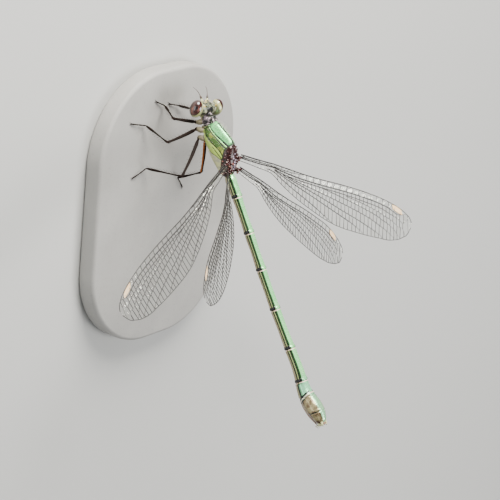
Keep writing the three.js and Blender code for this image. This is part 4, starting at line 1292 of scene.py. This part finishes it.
def film_grid(pair, look, rows_across=64, columns=300):
    """The membrane's parameters: shares along and across, the dome and tilt of the cell that each point
    lies in, and that cell's own number from 0 to 1."""
    share = np.linspace(0.0, 0.998, columns)
    chord = np.linspace(0.0, 1.0, rows_across)
    rows = wing_veins(pair, NEW_VEIN_GAP * look.cell)[0]
    at = np.stack([np.interp(share, COLUMNS, np.nan_to_num(r, nan=9.0)) for r in rows])
    at = np.where(at > 1.001, np.nan, at)
    lower = np.where(at[:, :, None] <= chord[None, None], at[:, :, None], -1.0)
    band = np.argmax(np.nan_to_num(lower, nan=-1.0), axis=0)
    top = np.nan_to_num(lower, nan=-1.0).max(0)
    bottom = np.nan_to_num(np.where(at[:, :, None] > chord[None, None], at[:, :, None], 2.0), nan=2.0).min(0)
    bottom = np.minimum(bottom, 1.0)
    across = np.clip((chord[None] - top) / np.maximum(bottom - top, 1e-3), 0, 1)
    phase = cell_phase(pair, band, share[:, None], look.cell)
    along = phase - np.floor(phase)
    number = scatter(band, np.floor(phase))
    dome = np.sin(np.pi * across) * np.sin(np.pi * along)
    tilt = (number - 0.5) * (across - 0.5) + (scatter(np.floor(phase), band) - 0.5) * (along - 0.5)
    return share[:, None] + 0 * chord, chord[None] + 0 * share[:, None], dome, tilt, number


def add_film(shell, name, look):
    """Adds the membrane as a thin closed sheet: an upper and a lower grid, joined round the edge."""
    pair = name.split("_")[0]
    share, chord, dome, tilt, number = film_grid(pair, look)
    relief = 0.035 * dome + 0.03 * tilt
    half = look.film_thickness / 2
    # The first channel is the cell's number, which also picks the cells that the film paints as glints.
    paint = np.stack([number, dome, share, chord], -1)
    faces = [wing_point(name, share, chord, relief + way * half) for way in (1, -1)]
    n, m = share.shape
    index = np.arange(n * m).reshape(n, m)
    quads = np.stack([index[:-1, :-1], index[1:, :-1], index[1:, 1:], index[:-1, 1:]], -1).reshape(-1, 4)
    rim = np.concatenate([index[0], index[1:, -1], index[-1, -2::-1], index[-2:0:-1, 0]])
    ahead = np.roll(rim, -1)
    wall = np.stack([rim, ahead, ahead + n * m, rim + n * m], -1)
    quads = np.concatenate([quads, quads[:, ::-1] + n * m, wall[:, ::-1]])
    shell.add(np.concatenate([f.reshape(-1, 3) for f in faces]), quads, None,
              np.concatenate([paint.reshape(-1, 4)] * 2))


def add_spot(shell, name):
    """Adds the wing spot: a thick pad between the leading edge and the radius, rounded at its rim."""
    pair = name.split("_")[0]
    start, end = STIGMA[pair]
    share = np.linspace(0, 1, 60)[:, None]
    angle = circle_angles(40)[None]
    across, through = power(np.cos(angle), 0.7), power(np.sin(angle), 0.9)
    skew = 0.006 * across
    at = start + (end - start) * share + skew
    width = 0.5 * np.clip(np.sin(np.pi * share), 0, 1) ** 0.16 + 0.02
    rear = np.interp(at, [start, end], [0.14, 0.165])
    chord = rear * (0.5 + width * across)
    lift = 0.07 * through * np.clip(np.sin(np.pi * share), 0, 1) ** 0.3
    rim = np.maximum(np.abs(across) * np.ones_like(share), 1 - 5 * np.minimum(share, 1 - share))
    paint = np.stack([soft_step(rim, 0.78, 0.9), 0 * rim, 0 * rim, 0 * rim], -1)
    add_rings(shell, wing_point(name, at, np.broadcast_to(chord, at.shape), lift), paint)


class DAMSEL_OT_wings(bpy.types.Operator):
    """Nets the four wings: membrane, lengthwise and cross veins, and the wing spot"""

    bl_idname = "damsel.wings"
    bl_label = "Wings"

    def execute(self, context):
        look = context.scene.damsel_wings
        graph = Graph("wing film")
        number = graph.paint()[0]
        # Cells with a high number are painted whitish and stop more light: painted glints on the membrane.
        tint = graph.mix(number, rgb(look.film), TINTS["painted film glint"])
        painted_glint_opacity = graph.fit(number, 0.6, 0.95, 1.0, 2.4)
        film = graph.surface({"Base Color": tint, "Metallic": 0.9, "Roughness": 0.2,
                              "Alpha": graph.math("MULTIPLY", painted_glint_opacity, look.opacity),
                              "Normal": graph.bump(graph.noise(3, 2), 0.02, 0.4)})
        graph = Graph("wing vein")
        shade = graph.mix(graph.fit(graph.noise(1.2), 0.35, 0.65), rgb(look.vein), TINTS["vein brown"])
        vein = graph.surface({"Base Color": shade, "Roughness": 0.42,
                              "Normal": graph.bump(graph.noise(12, 2), 0.006, 0.4)})
        graph = Graph("wing spot")
        rim = graph.paint()[0]
        shade = graph.mix(graph.fit(graph.noise(4), 0.3, 0.7), rgb(look.spot), TINTS["spot cream"])
        spot = graph.surface({"Base Color": graph.mix(rim, shade, rgb(look.vein)), "Roughness": 0.35,
                              "Normal": graph.bump(graph.noise(8, 2), 0.01, 0.4)})
        for name in WINGS:
            net, sheet, pad = Shell(), Shell(), Shell()
            add_film(sheet, name, look)
            add_wing_net(net, name, look)
            add_spot(pad, name)
            sheet.make(f"wing_film_{name}", film, "wing", [f"wing_{name}"])
            net.make(f"wing_veins_{name}", vein, "wing")
            pad.make(f"wing_spot_{name}", spot, "wing")
        return {"FINISHED"}


# How high the ankle's and the toe's middle lie above the base.
ANKLE_HEIGHT, TOE_HEIGHT = 0.34, 0.1
# Thickness along the femur and the tibia: shares of the length and of the piece's own thickness.
FEMUR_SHAPE = ([0, 0.08, 0.3, 0.6, 0.9, 0.97, 1], [0.6, 0.95, 1.05, 0.92, 0.78, 0.86, 0.5])
TIBIA_SHAPE = ([0, 0.04, 0.12, 0.5, 0.94, 1], [0.8, 1.35, 1.0, 0.92, 1.12, 0.7])
# Where the foot's three joints meet, as shares of its length, and how far a claw reaches.
FOOT_CUTS = (0, 0.2, 0.5, 1.0)
CLAW_REACH = 0.3


def leg_path(name, spec):
    """A leg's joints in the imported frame: root, coxa's end, trochanter, knee, ankle and toe."""
    side, pair = spec["side"], name.split("_")[0]
    root, coxa = body_to_row([np.array(at[pair]) * (1, side, 1) for at in (HIPS, COXA_ENDS)])
    floor = BASE_HIGH[2]
    joint = np.array([ABDOMEN_JOINT[0], ABDOMEN_JOINT[1], floor])
    knee = joint + spec["knee"]
    ankle = joint + (*spec["ankle"], ANKLE_HEIGHT)
    toe = joint + (*spec["toe"], TOE_HEIGHT)
    trochanter = coxa + 0.35 * unit(knee - coxa)
    return root, coxa, trochanter, knee, ankle, toe


def bowed(start, end, count, bow, up=(0, 0, 1)):
    """A line of points from start to end that swells to one side by a sine."""
    share = np.linspace(0, 1, count)[:, None]
    return start + (end - start) * share + np.asarray(up) * bow * np.sin(np.pi * share)


def points_along(path, share):
    """Points at shares of the way along a path whose own points are evenly spread."""
    return np.stack([np.interp(share, np.linspace(0, 1, len(path)), path[:, k]) for k in range(3)], -1)


def add_leg(shell, name, spec, look):
    """Adds a leg: coxa, trochanter, femur, tibia, three foot joints and two claws, with two rows of
    bristles along the femur and the tibia."""
    side = spec["side"]
    root, coxa, trochanter, knee, ankle, toe = leg_path(name, spec)
    outward = np.array([0.35, side * 0.6, 0.7])

    def face_paint(rings, dark_at=-0.1):
        """Dark where a ring's point lies outward of its middle, amber inside."""
        away = unit(rings - rings.mean(1, keepdims=True)) @ unit(outward)
        dark = soft_step(away, dark_at - 0.25, dark_at + 0.25)
        return np.stack([0 * dark, 1 - dark, 0 * dark, 0 * dark], -1)

    share = np.linspace(0, 1, 24)
    body = tube_rings(bowed(root, coxa, 24, 0.0), 0.2 + 0.16 * np.sin(np.pi * share) ** 0.7, 20)
    add_rings(shell, body, np.broadcast_to(PALE, (24, 20, 4)))
    add_blob(shell, coxa, (0.24, 0.24, 0.24), PALE, 12, 18, place=np.asarray)
    body = tube_rings(bowed(coxa - 0.08 * unit(trochanter - coxa), trochanter, 24, 0.0),
                      0.13 + 0.1 * np.sin(np.pi * share) ** 0.7, 20)
    add_rings(shell, body, face_paint(body))
    share = np.linspace(0, 1, 60)
    thick = look.femur * curve(share, *FEMUR_SHAPE)
    femur = bowed(trochanter, knee, 60, 0.12)
    body = tube_rings(femur, thick, 20)
    add_rings(shell, body, face_paint(body))
    thick = look.tibia * curve(share, *TIBIA_SHAPE)
    tibia = bowed(knee, ankle, 60, 0.06)
    body = tube_rings(tibia, thick, 16)
    add_rings(shell, body, face_paint(body, -0.6))
    foot = bowed(ankle, toe, 40, 0.05)
    for first, last in zip(FOOT_CUTS[:-1], FOOT_CUTS[1:]):
        path = points_along(foot, np.linspace(first, last, 16))
        local = np.linspace(0, 1, 16)
        thick = look.tarsus * (0.72 + 0.28 * local) * np.minimum(1, 0.55 + 4 * np.minimum(local, 1 - local))
        body = tube_rings(path, thick, 14)
        add_rings(shell, body, face_paint(body, -1.2))
    ahead = unit(toe - ankle)
    across = unit(np.cross((0, 0, 1), ahead))
    for way in (-1, 1):
        share = np.linspace(0, 1, 16)[:, None]
        spread = way * across * (0.04 + 0.14 * share)
        claw = toe + ahead * CLAW_REACH * share + spread - (0, 0, 1) * (0.08 * share**2)
        add_rings(shell, tube_rings(claw, 0.045 * (1 - 0.85 * share[:, 0]), 10))
    for path, thick, count, reach in ((femur, look.femur, 8, 0.75), (tibia, look.tibia, 10, 1.0)):
        along = unit(path[-1] - path[0])
        down = unit(np.cross(along, np.cross((0.15, 0, -1), along)))
        sideways = np.cross(along, down)
        share = (np.arange(count) + 0.7) / (count + 0.6)
        roots = points_along(path, share)
        for way in (-1, 1):
            lean = unit(0.75 * down + way * 0.75 * sideways + 0.75 * along)
            reaches = (look.bristle * reach * (1 - 0.35 * np.abs(share - 0.45)))[:, None]
            tips = roots + lean * (thick + reaches)
            add_bristles(shell, roots + 0.7 * thick * lean, tips, 0.02, 0.06, 4)


class DAMSEL_OT_legs(bpy.types.Operator):
    """Sets the six legs with their bristles and claws"""

    bl_idname = "damsel.legs"
    bl_label = "Legs"

    def execute(self, context):
        body, look = context.scene.damsel_body, context.scene.damsel_legs
        skin = cuticle("leg cuticle", rgb(look.dark), rgb(look.dark, 1.6), [
            (rgb(body.seam), 0.1, 0.3), (rgb(look.amber), 0.05, 0.35), (TINTS["coxa khaki"], 0.05, 0.45)],
            0.0, 0.6, 14, coat=0.0)
        for name, spec in LEGS.items():
            shell = Shell()
            add_leg(shell, name, spec, look)
            nodes = [f"leg_{name}_{part}" for part in ("femur", "tibia", "tarsus")]
            shell.make(f"leg_skin_{name}", skin, "leg", nodes)
        return {"FINISHED"}


# How many hairs stand on the thorax and prothorax, and on the head.
BODY_HAIRS, HEAD_HAIRS = 560, 160


class DAMSEL_OT_hairs(bpy.types.Operator):
    """Plants the fine pale hairs of the thorax, prothorax and head"""

    bl_idname = "damsel.hairs"
    bl_label = "Hairs"

    def execute(self, context):
        body = context.scene.damsel_body
        rng = np.random.default_rng(SEED + 1)
        shell = Shell()
        x = rng.uniform(3.4, 6.9, BODY_HAIRS)
        angle = np.radians(rng.normal(0, 62, BODY_HAIRS))
        roots = thorax_point(x, angle, 0.02)
        out = unit(roots - joined(x, 0.0, 0.2)) + rng.normal(0, 0.16, (BODY_HAIRS, 3)) + (0.35, 0, 0)
        reach = rng.uniform(0.3, 0.75, (BODY_HAIRS, 1)) * (0.55 + 0.45 * soft_step(x, 4.5, 6.5))[:, None]
        tips = roots + unit(out) * reach
        add_bristles(shell, body_to_row(roots), body_to_row(tips), 0.009, 0.08, 3)
        y = rng.uniform(-0.8, 0.8, HEAD_HAIRS)
        angle = np.radians(rng.uniform(20, 150, HEAD_HAIRS))
        roots = head_point(y, angle)
        out = unit(roots + rng.normal(0, 0.15, (HEAD_HAIRS, 3)))
        tips = roots + out * rng.uniform(0.15, 0.4, (HEAD_HAIRS, 1))
        add_bristles(shell, head_place(roots), head_place(tips), 0.008, 0.08, 3)
        graph = Graph("hair")
        shade = graph.mix(graph.fit(graph.noise(2), 0.3, 0.7), rgb(body.hair), TINTS["hair shade"])
        hair = graph.surface({"Base Color": shade, "Roughness": 0.5})
        shell.make("body_hairs", hair, "pale_cuticle")
        return {"FINISHED"}


# The base's corner radius and the rounding of its edges, in millimetres.
BASE_CORNER, BASE_ROUNDING = 11.0, 0.5


class DAMSEL_OT_base(bpy.types.Operator):
    """Makes the plain display base with its rounded edge"""

    bl_idname = "damsel.base"
    bl_label = "Display base"

    def execute(self, context):
        stage = context.scene.damsel_stage
        half = (BASE_HIGH - BASE_LOW)[:2] / 2
        height = BASE_HIGH[2] - BASE_LOW[2]
        turn = np.linspace(0, 2 * np.pi, 241)[:-1]
        quarter = np.linspace(0, np.pi / 2, 10)
        late, early = BASE_ROUNDING * (1 - np.sin(quarter)), BASE_ROUNDING * (1 - np.cos(quarter))
        inset = np.concatenate([[6.0, 2.0], late, early, [2.0, 6.0]])
        rise = np.concatenate([[0, 0], early, height - late, [height, height]])
        straight = (half - BASE_CORNER) * np.stack([np.sign(np.cos(turn)), np.sign(np.sin(turn))], -1)
        radius = (BASE_CORNER - inset)[:, None]
        rings = joined(BASE_MIDDLE[0] + straight[:, 0] + radius * np.cos(turn),
                       BASE_MIDDLE[1] + straight[:, 1] + radius * np.sin(turn),
                       BASE_LOW[2] + rise[:, None])
        graph = Graph("base finish")
        cloud = graph.fit(graph.noise(0.25, 6), 0.3, 0.7)
        shade = graph.mix(cloud, rgb(stage.base), rgb(stage.base, 0.9))
        speck = graph.fit(graph.noise(4.0, 2), 0.62, 0.7, 0, 0.35)
        shade = graph.mix(speck, shade, rgb(stage.base, 0.6))
        fine = graph.bump(graph.noise(6, 4), 0.02, 0.5)
        stone = graph.surface({"Base Color": shade, "Roughness": 0.62, "Normal": fine})
        shell = Shell()
        add_rings(shell, rings)
        shell.make("base_plate", stone, "base", ["stand_base"])
        return {"FINISHED"}


def picture_axes():
    """The camera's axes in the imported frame, as the rows of a turn from camera to frame: the body's
    length F, right R and back U in the picture, then the frame's x, y and z from them by the pitch."""
    level = cos(PICTURE_TIP)
    f = np.array([-sin(PICTURE_TURN) * level, cos(PICTURE_TURN) * level, sin(PICTURE_TIP)])
    right0 = unit(np.cross(f, (0, 0, 1)))
    up0 = np.cross(right0, f)
    right = cos(PICTURE_ROLL) * right0 - sin(PICTURE_ROLL) * up0
    back = sin(PICTURE_ROLL) * right0 + cos(PICTURE_ROLL) * up0
    c, s = cos(BODY_PITCH), sin(BODY_PITCH)
    return np.stack([c * f + s * back, -right, c * back - s * f])


# The floor slab, in millimetres: how far it reaches from the middle, its top and its underside.
FLOOR_REACH, FLOOR_TOP, FLOOR_BOTTOM = 3000.0, -0.02, -8.0


class DAMSEL_OT_stage(bpy.types.Operator):
    """Sets the camera at the photograph's angle, the pale floor and the soft lights"""

    bl_idname = "damsel.stage"
    bl_label = "Stage"

    def execute(self, context):
        turn = picture_axes()
        self.place_camera(context.scene, turn)
        self.lay_floor(context.scene)
        self.hang_lights(context.scene, turn)
        return {"FINISHED"}

    def place_camera(self, scene, turn):
        """Sets the camera where the abdomen's joint falls on its place in the picture."""
        half = PICTURE_SIDE / 2
        joint = np.array([JOINT_PIXEL[0] - half, half - JOINT_PIXEL[1], -FOCAL_PIXELS])
        place = ABDOMEN_JOINT - turn @ (joint * CAMERA_DISTANCE / FOCAL_PIXELS)
        camera = bpy.data.cameras.new("camera")
        camera.sensor_width = 36
        camera.lens = camera.sensor_width * FOCAL_PIXELS / PICTURE_SIDE
        camera.clip_start, camera.clip_end = 0.01, 20
        holder = bpy.data.objects.new("camera", camera)
        scene.collection.objects.link(holder)
        matrix = Matrix(turn.tolist()).to_4x4()
        matrix.translation = place * MM
        holder.matrix_world = matrix
        scene.camera = holder

    def lay_floor(self, scene):
        """Lays a wide pale slab just under the base."""
        look = scene.damsel_stage
        corners = np.array([(-1, -1), (1, -1), (1, 1), (-1, 1)]) * FLOOR_REACH
        points = np.concatenate([np.c_[corners, np.full(4, z)] for z in (FLOOR_TOP, FLOOR_BOTTOM)])
        faces = [(0, 1, 2, 3), (7, 6, 5, 4), (0, 4, 5, 1), (1, 5, 6, 2), (2, 6, 7, 3), (3, 7, 4, 0)]
        graph = Graph("floor")
        shade = graph.mix(graph.noise(0.02, 2), rgb(look.floor), rgb(look.floor, 0.97))
        material = graph.surface({"Base Color": shade, "Roughness": 0.7})
        mesh = bpy.data.meshes.new("floor")
        mesh.from_pydata((points * MM).tolist(), [], faces)
        mesh.materials.append(material)
        plane = bpy.data.objects.new("floor", mesh)
        scene.collection.objects.link(plane)

    def hang_lights(self, scene, turn):
        """Hangs three round lights that face the abdomen's joint, and sets the sky."""
        look = scene.damsel_stage
        right, up, back = turn.T
        for name, towards, distance, width, watts, tint in (
            ("key", 0.35 * right + 0.75 * up + 0.6 * back, 0.24, 0.16, look.key, (1.0, 0.98, 0.94)),
            ("fill", -0.8 * right - 0.1 * up + 0.75 * back, 0.3, 0.3, look.fill, (0.92, 0.96, 1.0)),
            ("edge", 0.9 * right - 0.35 * up + 0.2 * back, 0.26, 0.14, 0.8 * look.fill, (1.0, 1.0, 1.0)),
        ):
            light = bpy.data.lights.new(name, "AREA")
            light.shape, light.size, light.energy, light.color = "DISK", width, watts, tint
            lamp = bpy.data.objects.new(name, light)
            scene.collection.objects.link(lamp)
            at = ABDOMEN_JOINT * MM + distance * unit(towards)
            z = unit(towards)
            x = unit(np.cross((0.1, 0.2, 1), z))
            axis = Matrix(np.stack([x, np.cross(z, x), z], -1).tolist()).to_4x4()
            axis.translation = at
            lamp.matrix_world = axis
        world = bpy.data.worlds.new("sky")
        scene.world = world
        world.use_nodes = True
        sky = world.node_tree.nodes["Background"]
        sky.inputs["Color"].default_value = (0.93, 0.95, 1.0, 1)
        sky.inputs["Strength"].default_value = look.sky


class DAMSEL_PT_panel(bpy.types.Panel):
    """Lists the pieces and their settings in the sidebar"""

    bl_idname = "DAMSEL_PT_panel"
    bl_label = "Damselfly"
    bl_space_type = "VIEW_3D"
    bl_region_type = "UI"
    bl_category = "Damselfly"

    def draw(self, context):
        for group in GROUPS:
            box = self.layout.box()
            settings = getattr(context.scene, group)
            for key in settings.bl_rna.properties.keys():
                if key not in ("rna_type", "name"):
                    box.prop(settings, key)
        for operator in PIECES:
            self.layout.operator(operator.bl_idname)


GROUPS = {
    "damsel_body": DAMSEL_PG_body,
    "damsel_head": DAMSEL_PG_head,
    "damsel_wings": DAMSEL_PG_wings,
    "damsel_legs": DAMSEL_PG_legs,
    "damsel_stage": DAMSEL_PG_stage,
}
PIECES = (
    DAMSEL_OT_stage,
    DAMSEL_OT_base,
    DAMSEL_OT_thorax,
    DAMSEL_OT_hinges,
    DAMSEL_OT_prothorax,
    DAMSEL_OT_head,
    DAMSEL_OT_eyes,
    DAMSEL_OT_antennae,
    DAMSEL_OT_abdomen,
    DAMSEL_OT_tail,
    DAMSEL_OT_wings,
    DAMSEL_OT_legs,
    DAMSEL_OT_hairs,
)


def register():
    """Registers the classes and hangs each group of settings on the scene."""
    for entry in (*GROUPS.values(), *PIECES, DAMSEL_PT_panel):
        bpy.utils.register_class(entry)
    for name, group in GROUPS.items():
        setattr(bpy.types.Scene, name, PointerProperty(type=group))


def unregister():
    """Takes the settings and the classes away again."""
    for name in GROUPS:
        delattr(bpy.types.Scene, name)
    for entry in reversed((*GROUPS.values(), *PIECES, DAMSEL_PT_panel)):
        bpy.utils.unregister_class(entry)


def main():
    """Builds every piece in order."""
    register()
    for operator in PIECES:
        group, name = operator.bl_idname.split(".")
        getattr(getattr(bpy.ops, group), name)()
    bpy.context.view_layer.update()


if __name__ == "__main__":
    main()
